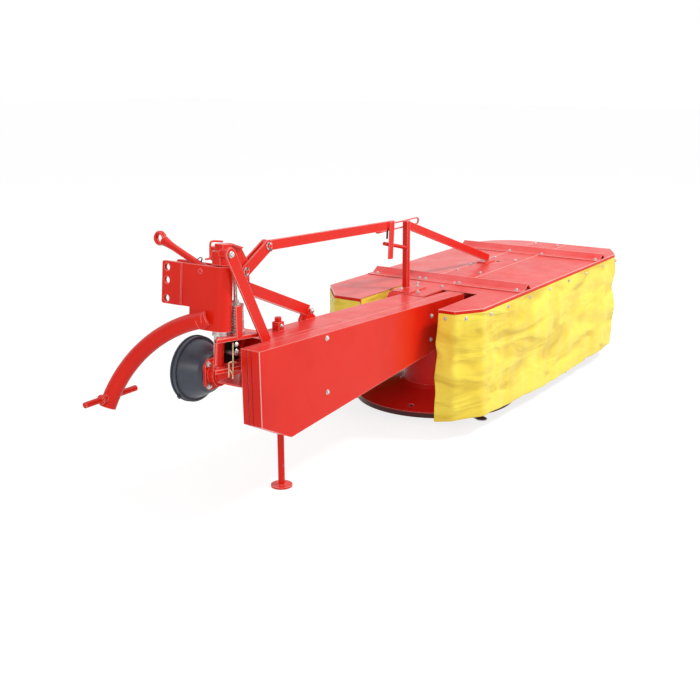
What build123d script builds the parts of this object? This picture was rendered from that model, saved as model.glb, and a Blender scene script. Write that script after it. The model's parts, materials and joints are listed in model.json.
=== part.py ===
from build123d import *
import math
import os

# Rotary mower with two cutting drums, carried behind a tractor on a three-point hitch.
# Millimetres. X runs outward along the deck, Y forward to the tractor, Z up.
# All places below are measured from the middle of the deck's hitch-side end, on the ground.

# Deck
DECK_LENGTH = 1800.0
DECK_FRONT = 411.0
DECK_REAR = 415.0
DECK_TOP = 570.0
SHEET = 3.0
LIP = 24.0
CORNER_NEAR_FRONT = (164.0, 140.0)
CORNER_NEAR_REAR = (117.0, 75.0)
CORNER_FAR_REAR = (146.0, 80.0)
CORNER_FAR_RADIUS = 280.0
SLOT_FRONT = 131.0
SLOT_REAR = 262.0
SLOT_LENGTH = 360.0
SLOT_FLAP_BOTTOM = 330.0
STRIP_FRONT = 97.0
STRIP_REAR = 78.0
STRIP_START = 180.0
STRIP_SHEET = 4.0
STRIP_LIP = (24.0, 19.0)
SEAM = 1.0

# Ribs folded over the deck
RIB_BASES = (("rib_inner", 482.0), ("rib_outer", 1401.0))
RIB_WIDTH = 95.0
RIB_RISE = 20.0
RIB_SHEET = 3.0
RIB_FLANGE = 22.0

# Cloth skirts
SKIRT_THICK = 3.0
SKIRT_GAP = 0.3
SKIRT_TOP_BELOW = 14.0
SKIRT_BOTTOM = 73.0
FRONT_SKIRT_BOTTOM = 105.0

# Gear beam under the deck, and the float hinge at its inner end
GEAR_TOP_BELOW = 3.5
GEAR_DEPTH = 112.0
GEAR_WALL = 6.0
GEAR_START = 330.0
GEAR_END = 1560.0
HINGE_X = 220.0
HINGE_Z = 476.0
HINGE_PIN_R = 16.0
HINGE_BOSS_R = 46.0
HINGE_PLAY = 0.3
EAR_THICK = 14.0
EAR_SIDE_GAP = 1.0

# Drums, knives and sliding dishes
DRUM_SPACING = 900.0
DRUM_FIRST = 450.0
DRUM_R = 150.0
DRUM_TOP = 438.0
DRUM_FOOT = 104.0
DISC_R = 379.0
DISC_EDGE = 60.0
DISC_BAND = 25.0
BAND_THICK = 7.0
DRUM_WALL = 5.0
DISC_FOOT_OUT = 22.0
COLUMN_R = 46.0
COLUMN_FOOT = 30.3
DRUM_HUB_PLAY = 0.3
DRUM_HUB_WALL = 14.0
DRUM_HUB_DEEP = 30.0
DISH_R = 262.0
DISH_FLAT_R = 165.0
DISH_RISE = 26.0
DISH_WALL = 6.0
DISH_HUB_R = 60.0
DISH_SEAT = 0.3
KNIVES_PER_DRUM = 3
KNIFE_REACH = 56.0
KNIFE_LENGTH = 118.0
KNIFE_WIDTH = 48.0
KNIFE_THICK = 4.0
KNIFE_DROP = 3.0
HOLDER_WIDTH = 56.0
HOLDER_LENGTH = 84.0
HOLDER_BEYOND_PIN = 26.0
KNIFE_PIN_IN = 36.0
KNIFE_PIN_R = 11.0
HOLDER_THICK = 6.0
DISC_HOLE_R = 13.0
DISC_HOLE_IN = 54.0
DISC_HOLES = 6

# Main beam and belt guard, built level about the float hinge and then sloped
BEAM_SLOPE = 2.5
BEAM_TOP = 100.0
BEAM_DEPTH = 98.0
BEAM_REAR = -115.0
BEAM_FRONT = 5.0
BEAM_INNER = -1200.0
BEAM_OUTER = -100.0
BEAM_WALL = 6.0
GUARD_REAR = -203.0
GUARD_SEAM = -147.0
GUARD_FRONT = -120.0
GUARD_WALL = 2.5
GUARD_END_R = 100.0
GUARD_TIP = 115.0
GUARD_TIP_LOW = -60.0
GUARD_INNER = -1358.0
GUARD_INNER_FOOT = (-1342.0, -175.0)
GUARD_KNEE = (-1172.0, -251.0)

# Parking leg
LEG_X = -815.0
LEG_Y = -38.0
LEG_R = 13.0
LEG_TOP = 672.0
LEG_FOOT_R = 42.0
LEG_FOOT_THICK = 8.0
LEG_HOLE_Z = 88.0
LEG_HOLE_R = 4.0
LEG_PLAY = 0.5
SLEEVE_SIZE = 32.0
SLEEVE_UP = 34.0
SLEEVE_DOWN = 12.0

# Swing post, built upright and then leaned, with its zero at SWING_Z on the axis
SWING_X = -1165.0
SWING_Y = -52.0
SWING_Z = 620.0
SWING_LEAN = 6.0
POST_R = 16.0
POST_PLAY = 0.5
POST_LOW = -62.0
CAP_HALF = (21.5, 18.0)
CAP_TOP = 374.0
CAP_ROOF = 8.0
CAP_GAP = 3.0
FORK_THICK = 14.0
FORK_TOP = 58.0
FORK_LOW = -62.0
FORK_INNER = -58.0
FORK_REACH = 190.0
FORK_REAR = -50.0
FORK_FRONT = 52.0
FORK_WEB = (14.0, 10.0, 74.0)
TILT_PIN = (45.0, -5.0)
TILT_PIN_R = 7.5
BUSH_R = 27.0

# Hitch head on the post
HEAD_R = 38.0
HEAD_LOW = 75.0
HEAD_TOP = 298.0
PLATE = 8.0
CLEVIS_LOW = 148.0
CLEVIS_FRONT = 236.0
CLEVIS_CREASE = 148.0
CLEVIS_DOUBLER = 5.0
LINK_HOLE_R = 12.7
LINK_HOLE_Y = 213.0
LINK_HOLE_HEIGHTS = (276.0, 231.0, 167.0)
ARM_R = 30.0
ARM_BORE_R = 22.0
LINK_PIN_R = 11.0
LINK_COLLAR_R = 18.0
LINK_COLLAR_OUT = 38.0
LINK_COLLAR_THICK = 8.0
LINK_COTTER_R = 4.0
LINK_COTTER_IN = 14.0
LEFT_ARM = ((-1192.0, -18.0, 737.0), (-1262.0, 178.0, 640.0), (-1366.0, 303.0, 412.0))
LEFT_PIN = (-1478.0, -1235.0, 293.0, 450.0)
RIGHT_ARM = ((-1128.0, 20.0, 745.0), (-868.0, 182.0, 700.0), (-700.0, 303.0, 424.0))
RIGHT_PIN = (-768.0, -570.0, 293.0, 450.0)

# Stay rod hinged on the head
STAY_PIVOT = (0.0, 63.0, 277.0)
STAY_EYE = (0.0, 290.0, 368.0)
STAY_R = 12.0
STAY_LUG_R = 17.0
STAY_LUG_HALF = 22.0
STAY_EYE_R = 25.0
STAY_EYE_BORE = 14.0
STAY_EYE_THICK = 20.0
STAY_PIN_R = 8.0
STAY_PLAY = 0.4

# Mast, braces and relief spring
MAST_Y = (19.0, 29.0)
MAST_INNER = -1102.0
MAST_TOP = 972.0
MAST_FOOT = 798.0
MAST_SLOPE_START = -1010.0
MAST_SLOPE_END = (-947.0, 949.0)
MAST_NOSE = (-904.0, 884.0)
MAST_WAIST = (-1015.0, 875.0)
MAST_HEEL = -952.0
MAST_WEB_LOW = 925.0
MAST_FLANGE = 12.0
MAST_SHEET = 5.0
MAST_WEB = 10.0
STRUT_UPPER = (-1124.0, -101.0, 957.0)
STRUT_LOWER = (-985.0, -110.0, 626.0)
STRUT_THICK = 8.0
STRUT_WIDTH = 42.0
STRUT_LUG_R = 17.0
BRACE_Y = (-15.0, 19.0)
BRACE_UPPER = (-950.0, 803.0)
BRACE_PIN = (-588.0, 650.0)
BRACE_DEPTH = 42.0
BRACE_LUG = (42.0, 58.0)
BRACE_LUG_HALF = 6.0
BRACE_LUG_R = 17.0
BRACE_PIN_R = 8.0
BRACE_PIN_OUT = 14.0
ROD_R = 7.0
SPRING_X = -1077.0
SPRING_Y = -58.0
SPRING_SEAT = 6.0
SPRING_TALL = 90.0
SPRING_SEAT_OUT = 4.0
SPRING_R = 24.0
SPRING_WIRE_R = 3.8
SPRING_TURNS = 8
ROD_TOP = 940.0
ROD_NUT_R = 13.0
ROD_NUT_TALL = 14.0
BRACKET_Y = (-103.0, -96.0)
BRACKET_WIDTH = 50.0
BRACKET_IN = 47.0
BRACKET_TOP = 780.0

# Lift lever and lift bar
LEVER_LOW = (-932.0, 858.0)
LEVER_HIGH = (-797.0, 931.0)
LEVER_WIDTH = 46.0
LEVER_THICK = 6.0
LINK_PLAY = 1.5
PIN_PLAY = 0.3
BAR_Y = (18.0, 30.0)
BAR_FAR = (96.0, 10.0)
BAR_DEPTH = 38.0
LOOP_Y = (91.0, 98.0)
LOOP_END = (416.0, -17.0)
LOOP_HEIGHT = 32.0
LOOP_SLOT = 22.0
LOOP_SLOT_START = 110.0
LATCH_Y = (10.0, 15.0)
LATCH_UPPER = (66.0, 12.0)
LATCH_LOWER = (54.0, -134.0)
LATCH_WIDTH = 36.0
LIFT_PIN_R = 8.0
POST_AT = (287.0, 72.0)
POST_WIDTH = 25.0
POST_HEIGHT = 884.0
POST_PIN_BELOW = 16.0
POST_PIN_END = 88.0
POST_FOOT = (96.0, 58.0)
POST_FOOT_FRONT = 22.0
POST_FOOT_REAR = 74.0
FOOT_THICK = 6.0
STAY_FOOT = (1101.0, 66.0)
STAY_BAR_WIDTH = 36.0
STAY_BAR_THICK = 16.0
STAY_PAD = (70.0, 30.0, 26.0)

# Input housing, shaft and shaft guard
INPUT_X = -955.0
INPUT_Z = 461.0
HUB_R = 36.0
HUB_FRONT = 152.0
FLANGE = 118.0
FLANGE_THICK = 12.0
FLANGE_CORNER = 22.0
HUB_COLLAR = (12.0, 26.0)
HANGER_INNER = -66.0
HANGER_OUTER = 90.0
HANGER_NECK = 40.0
HANGER_THICK = 12.0
SADDLE = (-172.0, 60.0)
SADDLE_THICK = 6.0
CONE_LENGTH = 103.0
CONE_BASE_R = 66.0
CONE_RIM_R = 125.0
CONE_WALL = 4.0
CONE_BAND = 22.0
SHAFT_R = 17.5
SHAFT_COLLAR_R = 24.0
SHAFT_STUB = 80.0
SHAFT_PLAY = 0.4


def block(x0, x1, y0, y1, z0, z1):
    return Pos((x0 + x1) / 2, (y0 + y1) / 2, (z0 + z1) / 2) * Box(x1 - x0, y1 - y0, z1 - z0)


def rod(start, end, radius):
    axis = Vector(*end) - Vector(*start)
    return extrude(Plane(start, z_dir=axis) * Circle(radius), amount=axis.length)


def side_plate(points, y0, y1):
    """A plate cut from an outline of (x, z) points, from y0 to y1."""
    plane = Plane((0, y1, 0), x_dir=(1, 0, 0), z_dir=(0, -1, 0))
    return extrude(plane * make_face(Polyline(*points, close=True)), amount=y1 - y0)


def side_bar(start, end, width, y0, y1, round_ends=True):
    """A flat bar between two (x, z) points, with round or square ends."""
    dx, dz = end[0] - start[0], end[1] - start[1]
    length = math.hypot(dx, dz)
    shape = SlotCenterToCenter(length, width) if round_ends else Rectangle(length, width)
    middle = ((start[0] + end[0]) / 2, y1, (start[1] + end[1]) / 2)
    plane = Plane(middle, x_dir=(dx, 0, dz), z_dir=(0, -1, 0))
    return extrude(plane * shape, amount=y1 - y0)


def turned(profile):
    """A body of revolution about Z from an outline of (radius, height) points."""
    return revolve(Plane.XZ * make_face(Polyline(*profile, close=True)), Axis.Z)


def bent_tube(points, radius):
    """A round bar along one arc through three points."""
    path = ThreePointArc(*points)
    return sweep(Plane(path @ 0, z_dir=path % 0) * Circle(radius), path)


# Places worked out from the sizes above
ON_BEAM = Pos(HINGE_X, 0, HINGE_Z) * Rot(0, BEAM_SLOPE, 0)
ON_POST = Pos(SWING_X, SWING_Y, SWING_Z) * Rot(0, SWING_LEAN, 0)
BEAM_LOW = BEAM_TOP - BEAM_DEPTH
GEAR_TOP = DECK_TOP - GEAR_TOP_BELOW
GEAR_LOW = GEAR_TOP - GEAR_DEPTH
DRUMS = (("inner", DRUM_FIRST), ("outer", DRUM_FIRST + DRUM_SPACING))
EAR_REAR = (BEAM_REAR, BEAM_REAR + EAR_THICK)
EAR_FRONT = (BEAM_FRONT - EAR_THICK, BEAM_FRONT)


def beam_top_at(x):
    """Height of the sloped beam's top face above the ground at x."""
    slope = math.radians(BEAM_SLOPE)
    return HINGE_Z + BEAM_TOP / math.cos(slope) - (x - HINGE_X) * math.tan(slope)


def deck_outline(grow=0.0):
    """The deck seen from above, as one face, grown outward all round."""
    far, front, rear = DECK_LENGTH, DECK_FRONT, -DECK_REAR
    ax, ay = CORNER_NEAR_FRONT
    bx, by = CORNER_NEAR_REAR
    cx, cy = CORNER_FAR_REAR
    corners = [
        (ax, front), (0, front - ay), (0, rear + by), (bx, rear),
        (far - cx, rear), (far, rear + cy), (far, front),
    ]
    face = make_face(Polyline(*corners, close=True))
    tip = face.vertices().sort_by(Axis.X)[-2:].sort_by(Axis.Y)[-1]
    face = fillet(tip, CORNER_FAR_RADIUS)
    return offset(face, amount=grow, kind=Kind.INTERSECTION) if grow else face


def slot_cut():
    """The slot in the deck that the beam and its guard lie in."""
    return block(-200, SLOT_LENGTH, -SLOT_REAR, SLOT_FRONT, 0, DECK_TOP + 50)


def deck_panel(front):
    """One folded deck sheet with its lip hanging down along the outer edge."""
    shell = extrude(Pos(0, 0, DECK_TOP - LIP) * deck_outline(), amount=LIP)
    hollow = extrude(Pos(0, 0, DECK_TOP - LIP) * deck_outline(-SHEET), amount=LIP - SHEET)
    panel = shell - hollow
    if front:
        keep = block(-10, DECK_LENGTH + 10, STRIP_FRONT + SEAM, DECK_FRONT + 10, 0, DECK_TOP + 10)
    else:
        keep = block(-10, DECK_LENGTH + 10, -DECK_REAR - 10, -STRIP_REAR - SEAM, 0, DECK_TOP + 10)
    return (panel & keep) - slot_cut()


def beam_cover():
    """The bolted strip between the two deck sheets, folded down at both ends."""
    low, high = DECK_TOP - SHEET, DECK_TOP - SHEET + STRIP_SHEET
    strip = block(STRIP_START, DECK_LENGTH, -STRIP_REAR, STRIP_FRONT, low, high)
    out, down = STRIP_LIP
    near_lip = side_plate([
        (STRIP_START, high), (STRIP_START + STRIP_SHEET, low), (STRIP_START + STRIP_SHEET - out, low - down),
        (STRIP_START - out, low - down),
    ], -STRIP_REAR, STRIP_FRONT)
    far_lip = block(DECK_LENGTH - SHEET, DECK_LENGTH, -STRIP_REAR, STRIP_FRONT, DECK_TOP - LIP, low)
    return strip + near_lip + far_lip


def rib(base_x):
    """A sheet folded to a low ridge over the deck, with a flat flange each side."""
    low = DECK_TOP - SHEET + STRIP_SHEET
    half = RIB_WIDTH / 2
    middle = base_x + half
    roof = [
        (base_x, low), (base_x, low + RIB_SHEET),
        (base_x + RIB_FLANGE, low + RIB_SHEET),
        (middle, low + RIB_RISE),
        (base_x + RIB_WIDTH - RIB_FLANGE, low + RIB_SHEET),
        (base_x + RIB_WIDTH, low + RIB_SHEET), (base_x + RIB_WIDTH, low),
        (base_x + RIB_WIDTH - RIB_FLANGE, low),
        (middle, low + RIB_RISE - RIB_SHEET * 1.3),
        (base_x + RIB_FLANGE, low),
    ]
    return side_plate(roof, -DECK_REAR + SHEET, DECK_FRONT - SHEET)


def skirt(part):
    """Cloth hanging outside the deck's lip, or along the slot."""
    low = {"rear": SKIRT_BOTTOM, "front": FRONT_SKIRT_BOTTOM, "slot": SLOT_FLAP_BOTTOM}[part]
    tall = DECK_TOP - SKIRT_TOP_BELOW - low
    if part == "slot":
        return block(SKIRT_THICK + SEAM, SLOT_LENGTH, SLOT_FRONT + SKIRT_GAP,
                     SLOT_FRONT + SKIRT_GAP + SKIRT_THICK, low, DECK_TOP - SHEET - SKIRT_GAP)
    outer = extrude(Pos(0, 0, low) * deck_outline(SKIRT_GAP + SKIRT_THICK), amount=tall)
    inner = extrude(Pos(0, 0, low) * deck_outline(SKIRT_GAP), amount=tall)
    far = DECK_LENGTH + 50
    if part == "rear":
        side = block(-50, far, -DECK_REAR - 50, 0, 0, DECK_TOP)
    else:
        side = block(-50, far, SEAM, DECK_FRONT + 50, 0, DECK_TOP)
    return ((outer - inner) & side) - slot_cut()


def gear_beam():
    """The hollow beam that carries both drums, with the hinge knuckle at its inner end."""
    outer = block(GEAR_START, GEAR_END, -STRIP_REAR, STRIP_FRONT, GEAR_LOW, GEAR_TOP)
    inner = block(GEAR_START + GEAR_WALL, GEAR_END - GEAR_WALL, -STRIP_REAR + GEAR_WALL,
                  STRIP_FRONT - GEAR_WALL, GEAR_LOW + GEAR_WALL, GEAR_TOP - GEAR_WALL)
    knuckle_rear = EAR_REAR[1] + EAR_SIDE_GAP
    knuckle_front = EAR_FRONT[0] - EAR_SIDE_GAP
    neck_half = HINGE_BOSS_R * 0.7
    neck_rear = max(knuckle_rear, -STRIP_REAR)
    neck = block(HINGE_X, GEAR_START + GEAR_WALL, neck_rear, knuckle_front,
                 HINGE_Z - neck_half, HINGE_Z + neck_half)
    knuckle = rod((HINGE_X, knuckle_rear, HINGE_Z), (HINGE_X, knuckle_front, HINGE_Z), HINGE_BOSS_R)
    bore = rod((HINGE_X, knuckle_rear - 1, HINGE_Z), (HINGE_X, knuckle_front + 1, HINGE_Z),
               HINGE_PIN_R + HINGE_PLAY)
    tongue = block(STRIP_START + STRIP_SHEET + SEAM, GEAR_START + GEAR_WALL, -STRIP_REAR, STRIP_FRONT,
                   GEAR_TOP - 12, GEAR_TOP)
    return outer - inner + neck + knuckle + tongue - bore


def drum_column(x):
    """The still column inside a drum, from the gear beam down to the sliding dish."""
    column = turned([
        (0, COLUMN_FOOT), (COLUMN_R, COLUMN_FOOT), (COLUMN_R, GEAR_LOW - 14), (DRUM_R * 0.6, GEAR_LOW - 14),
        (DRUM_R * 0.6, GEAR_LOW), (0, GEAR_LOW),
    ])
    return Pos(x, 0, 0) * column


def disc_under(radius):
    """Height of the cone's underside at a radius."""
    foot_r, foot_z = DRUM_R + DISC_FOOT_OUT - 2, DRUM_FOOT - DRUM_WALL
    rim_r, rim_z = DISC_R - BAND_THICK, DISC_EDGE - DRUM_WALL
    return foot_z + (rim_z - foot_z) * (radius - foot_r) / (rim_r - foot_r)


def drum():
    """Sheet drum on a shallow cone, with a rolled rim and six washout holes."""
    t = DRUM_WALL
    bore = COLUMN_R + DRUM_HUB_PLAY
    hub = bore + DRUM_HUB_WALL
    foot_r = DRUM_R + DISC_FOOT_OUT
    shell = turned([
        (bore, DRUM_TOP), (DRUM_R - 14, DRUM_TOP), (DRUM_R, DRUM_TOP - 14), (DRUM_R, DRUM_FOOT + 16),
        (foot_r, DRUM_FOOT), (DISC_R, DISC_EDGE), (DISC_R, DISC_EDGE - DISC_BAND),
        (DISC_R - BAND_THICK, DISC_EDGE - DISC_BAND), (DISC_R - BAND_THICK, DISC_EDGE - t),
        (foot_r - 2, DRUM_FOOT - t), (DRUM_R - t, DRUM_FOOT + 12), (DRUM_R - t, DRUM_TOP - 14 - t / 2),
        (DRUM_R - 16, DRUM_TOP - t), (hub, DRUM_TOP - t), (hub, DRUM_TOP - DRUM_HUB_DEEP),
        (bore, DRUM_TOP - DRUM_HUB_DEEP),
    ])
    holes = [
        loc * Cylinder(DISC_HOLE_R, 160)
        for loc in PolarLocations(DISC_R - DISC_HOLE_IN, DISC_HOLES, start_angle=10)
    ]
    return shell - holes


def knife_set():
    """Knives that swing on a pin under the rim, each held by a sprung holder plate."""
    pin_at = DISC_R - BAND_THICK - KNIFE_PIN_IN
    holder_out = pin_at + HOLDER_BEYOND_PIN
    bolt_at = holder_out - HOLDER_LENGTH + KNIFE_PIN_R + 5
    knife_top = DISC_EDGE - DISC_BAND - KNIFE_DROP
    tip = DISC_R + KNIFE_REACH
    blade = Pos(tip - KNIFE_LENGTH / 2, 0, knife_top - KNIFE_THICK / 2) * Box(
        KNIFE_LENGTH, KNIFE_WIDTH, KNIFE_THICK)
    blade = chamfer(blade.edges().filter_by(Axis.Z).sort_by(Axis.X)[-2:], 14)
    holder = Pos(holder_out - HOLDER_LENGTH / 2, 0, knife_top + HOLDER_THICK / 2) * Box(
        HOLDER_LENGTH, HOLDER_WIDTH, HOLDER_THICK)
    holder = fillet(holder.edges().filter_by(Axis.Z), 12)
    knife = blade + holder
    for radius, low in ((pin_at, knife_top - KNIFE_THICK - 5), (bolt_at, knife_top)):
        top = disc_under(radius + KNIFE_PIN_R) - DISH_SEAT
        knife += rod((radius, 0, low), (radius, 0, top), KNIFE_PIN_R)
    return [Rot(0, 0, 360.0 / KNIVES_PER_DRUM * k) * knife for k in range(KNIVES_PER_DRUM)]


def dish():
    """Sliding dish that turns freely under the knives."""
    t = DISH_WALL
    return turned([
        (0, 0), (DISH_FLAT_R, 0), (DISH_R - 40, DISH_RISE * 0.35), (DISH_R, DISH_RISE),
        (DISH_R - 3, DISH_RISE + t * 0.6), (DISH_R - 44, DISH_RISE * 0.35 + t), (DISH_FLAT_R - 4, t),
        (DISH_HUB_R, t), (DISH_HUB_R, COLUMN_FOOT - DISH_SEAT), (0, COLUMN_FOOT - DISH_SEAT),
    ])


def main_beam():
    """Rectangular tube with a closed inner end and two hinge ears at the outer end."""
    outer = block(BEAM_INNER, BEAM_OUTER, BEAM_REAR, BEAM_FRONT, BEAM_LOW, BEAM_TOP)
    inner = block(BEAM_INNER + BEAM_WALL, BEAM_OUTER - BEAM_WALL, BEAM_REAR + BEAM_WALL,
                  BEAM_FRONT - BEAM_WALL, BEAM_LOW + BEAM_WALL, BEAM_TOP - BEAM_WALL)
    body = outer - inner
    for y0, y1 in (EAR_REAR, EAR_FRONT):
        ear = block(BEAM_OUTER - 60, 0, y0, y1, -HINGE_BOSS_R, HINGE_BOSS_R)
        ear += rod((0, y0, 0), (0, y1, 0), HINGE_BOSS_R)
        body += ear
    body -= rod((0, BEAM_REAR - 1, 0), (0, BEAM_FRONT + 1, 0), HINGE_PIN_R)
    body = ON_BEAM * body
    leg = rod((LEG_X, LEG_Y, 0), (LEG_X, LEG_Y, DECK_TOP + 400), LEG_R + LEG_PLAY)
    return body - leg


def guard_outline(inset=0.0):
    """The belt guard seen from behind: full-height tip, long taper and a knee at the foot."""
    r = GUARD_END_R
    knee = Vector(*GUARD_KNEE)
    reach = math.atan2(-knee.Y, -knee.X)
    spread = math.acos(r / knee.length)
    angle = reach + math.pi + spread
    touch = (r * math.cos(angle), r * math.sin(angle))
    face = make_face(Polyline(
        (GUARD_TIP, r), (GUARD_INNER, r), GUARD_INNER_FOOT, GUARD_KNEE, touch, (GUARD_TIP, GUARD_TIP_LOW),
        close=True))
    return offset(face, amount=-inset, kind=Kind.INTERSECTION) if inset else face


def guard_half(y0, y1, wall_at_rear):
    """Half of the pressed belt guard, open where it meets the other half."""
    plane = Plane((0, y1, 0), x_dir=(1, 0, 0), z_dir=(0, -1, 0))
    outer = extrude(plane * guard_outline(), amount=y1 - y0)
    if wall_at_rear:
        start, depth = y1, y1 - y0 - GUARD_WALL
    else:
        start, depth = y1 - GUARD_WALL, y1 - y0 - GUARD_WALL
    cut_plane = Plane((0, start, 0), x_dir=(1, 0, 0), z_dir=(0, -1, 0))
    return ON_BEAM * (outer - extrude(cut_plane * guard_outline(GUARD_WALL), amount=depth))


def park_leg():
    """Tube leg with a round foot plate and its pin hole."""
    leg = rod((LEG_X, LEG_Y, LEG_FOOT_THICK), (LEG_X, LEG_Y, LEG_TOP), LEG_R)
    foot = rod((LEG_X, LEG_Y, 0), (LEG_X, LEG_Y, LEG_FOOT_THICK), LEG_FOOT_R)
    hole = rod((LEG_X, LEG_Y - 50, LEG_HOLE_Z), (LEG_X, LEG_Y + 50, LEG_HOLE_Z), LEG_HOLE_R)
    return leg + foot - hole


def beam_envelope():
    return ON_BEAM * block(BEAM_INNER, BEAM_OUTER, BEAM_REAR, BEAM_FRONT, BEAM_LOW, BEAM_TOP)


def leg_sleeve():
    """Square sleeve that guides the leg on top of the beam."""
    half = SLEEVE_SIZE / 2
    top = beam_top_at(LEG_X)
    outer = block(LEG_X - half, LEG_X + half, LEG_Y - half, LEG_Y + half, top - SLEEVE_DOWN, top + SLEEVE_UP)
    return outer - beam_envelope() - rod((LEG_X, LEG_Y, 0), (LEG_X, LEG_Y, LEG_TOP), LEG_R + LEG_PLAY)


def swing_post():
    """The swing pin, seated in the fork below and in the mast's cap above."""
    post = rod((0, 0, POST_LOW), (0, 0, CAP_TOP - CAP_ROOF), POST_R)
    return ON_POST * (post + rod((0, 0, FORK_TOP), (0, 0, HEAD_LOW - SHAFT_PLAY), BUSH_R))


def fork_plates():
    """The fork's two bearing plates and the cheek that joins them, upright."""
    top = block(FORK_INNER, FORK_REACH, FORK_REAR, FORK_FRONT, FORK_TOP - FORK_THICK, FORK_TOP)
    top = fillet(top.edges().filter_by(Axis.Z).group_by(Axis.X)[0], FORK_THICK)
    low = block(-BUSH_R, FORK_REACH, -BUSH_R, FORK_FRONT, FORK_LOW, FORK_LOW + FORK_THICK)
    low = fillet(low.edges().filter_by(Axis.Z).group_by(Axis.X)[0], FORK_THICK)
    cheek = block(-BUSH_R, FORK_REACH, FORK_FRONT - FORK_THICK, FORK_FRONT, FORK_LOW, FORK_TOP)
    web_x, web_y, web_down = FORK_WEB
    web = block(FORK_INNER + FORK_THICK - web_x, FORK_INNER + FORK_THICK, FORK_REAR, FORK_REAR + web_y,
                FORK_TOP - web_down, FORK_TOP - FORK_THICK)
    return top + low + cheek + web


def swing_fork():
    """Plates on the beam's inner end that hold the swing post, with the tilt pin across them."""
    pin_x, pin_z = TILT_PIN
    pin = rod((pin_x, FORK_REAR + 8, pin_z), (pin_x, FORK_FRONT - FORK_THICK, pin_z), TILT_PIN_R)
    fork = ON_POST * (fork_plates() + pin - rod((0, 0, POST_LOW - 1), (0, 0, CAP_TOP), POST_R))
    return fork - beam_envelope()


def hitch_head():
    """Sleeve on the swing post with two plates that run forward to the top-link clevis."""
    sleeve = rod((0, 0, HEAD_LOW), (0, 0, HEAD_TOP), HEAD_R)
    neck_end = CLEVIS_CREASE - HEAD_R
    for side in (-1, 1):
        inner, outer = side * (HEAD_R - PLATE), side * HEAD_R
        x0, x1 = min(inner, outer), max(inner, outer)
        front = block(x0, x1, 0, CLEVIS_FRONT, CLEVIS_LOW, HEAD_TOP)
        front = fillet(front.edges().filter_by(Axis.X).group_by(Axis.Y)[-1], PLATE)
        low = block(x0, x1, 0, neck_end, HEAD_LOW, CLEVIS_LOW)
        doubler_x = sorted((outer, outer + side * CLEVIS_DOUBLER))
        doubler = block(*doubler_x, CLEVIS_CREASE, CLEVIS_FRONT, CLEVIS_LOW, HEAD_TOP)
        doubler = fillet(doubler.edges().filter_by(Axis.X).group_by(Axis.Y)[-1], PLATE)
        sleeve += front + low + doubler
    sleeve += block(-HEAD_R, HEAD_R, 0, neck_end, HEAD_LOW, HEAD_LOW + PLATE)
    sleeve -= rod((0, 0, HEAD_LOW - 1), (0, 0, HEAD_TOP + 1), POST_R + POST_PLAY)
    _, pin_y, pin_z = STAY_PIVOT
    sleeve += rod((-HEAD_R - 4, pin_y, pin_z), (HEAD_R + 4, pin_y, pin_z), STAY_PIN_R)
    reach = HEAD_R + CLEVIS_DOUBLER + 5
    for height in LINK_HOLE_HEIGHTS:
        sleeve -= rod((-reach, LINK_HOLE_Y, height), (reach, LINK_HOLE_Y, height), LINK_HOLE_R)
    return ON_POST * sleeve


def link_arm(points, pin):
    """A bent tube arm with its collared lower-link pin across the end."""
    x0, x1, y, z = pin
    arm = bent_tube(points, ARM_R) - bent_tube(points, ARM_BORE_R)
    centre = points[-1][0]
    cross = rod((x0, y, z), (x1, y, z), LINK_PIN_R)
    for side in (-1, 1):
        face = centre + side * LINK_COLLAR_OUT
        cross += rod((face, y, z), (face - side * LINK_COLLAR_THICK, y, z), LINK_COLLAR_R)
    for x in (x0 + LINK_COTTER_IN, x1 - LINK_COTTER_IN):
        cross -= rod((x, y, z - LINK_COLLAR_R), (x, y, z + LINK_COLLAR_R), LINK_COTTER_R)
    inside = ON_POST * block(-HEAD_R, HEAD_R, -CLEVIS_CREASE, CLEVIS_CREASE - HEAD_R, HEAD_LOW, HEAD_TOP)
    return (arm - inside - hitch_head()) + cross


def stay_rod():
    """Rod with an open eye, hinged between the plates at the top of the head."""
    px, py, pz = STAY_PIVOT
    ex, ey, ez = STAY_EYE
    way = (Vector(*STAY_EYE) - Vector(*STAY_PIVOT)).normalized()
    neck = Vector(*STAY_EYE) - way * (STAY_EYE_R - 12)
    body = rod(STAY_PIVOT, tuple(neck), STAY_R)
    body += rod((px - STAY_LUG_HALF, py, pz), (px + STAY_LUG_HALF, py, pz), STAY_LUG_R)
    body += rod((ex - STAY_EYE_THICK / 2, ey, ez), (ex + STAY_EYE_THICK / 2, ey, ez), STAY_EYE_R)
    for y, z, radius in ((ey, ez, STAY_EYE_BORE), (py, pz, STAY_PIN_R + STAY_PLAY)):
        body -= rod((-STAY_EYE_R, y, z), (STAY_EYE_R, y, z), radius)
    return ON_POST * body


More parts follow.
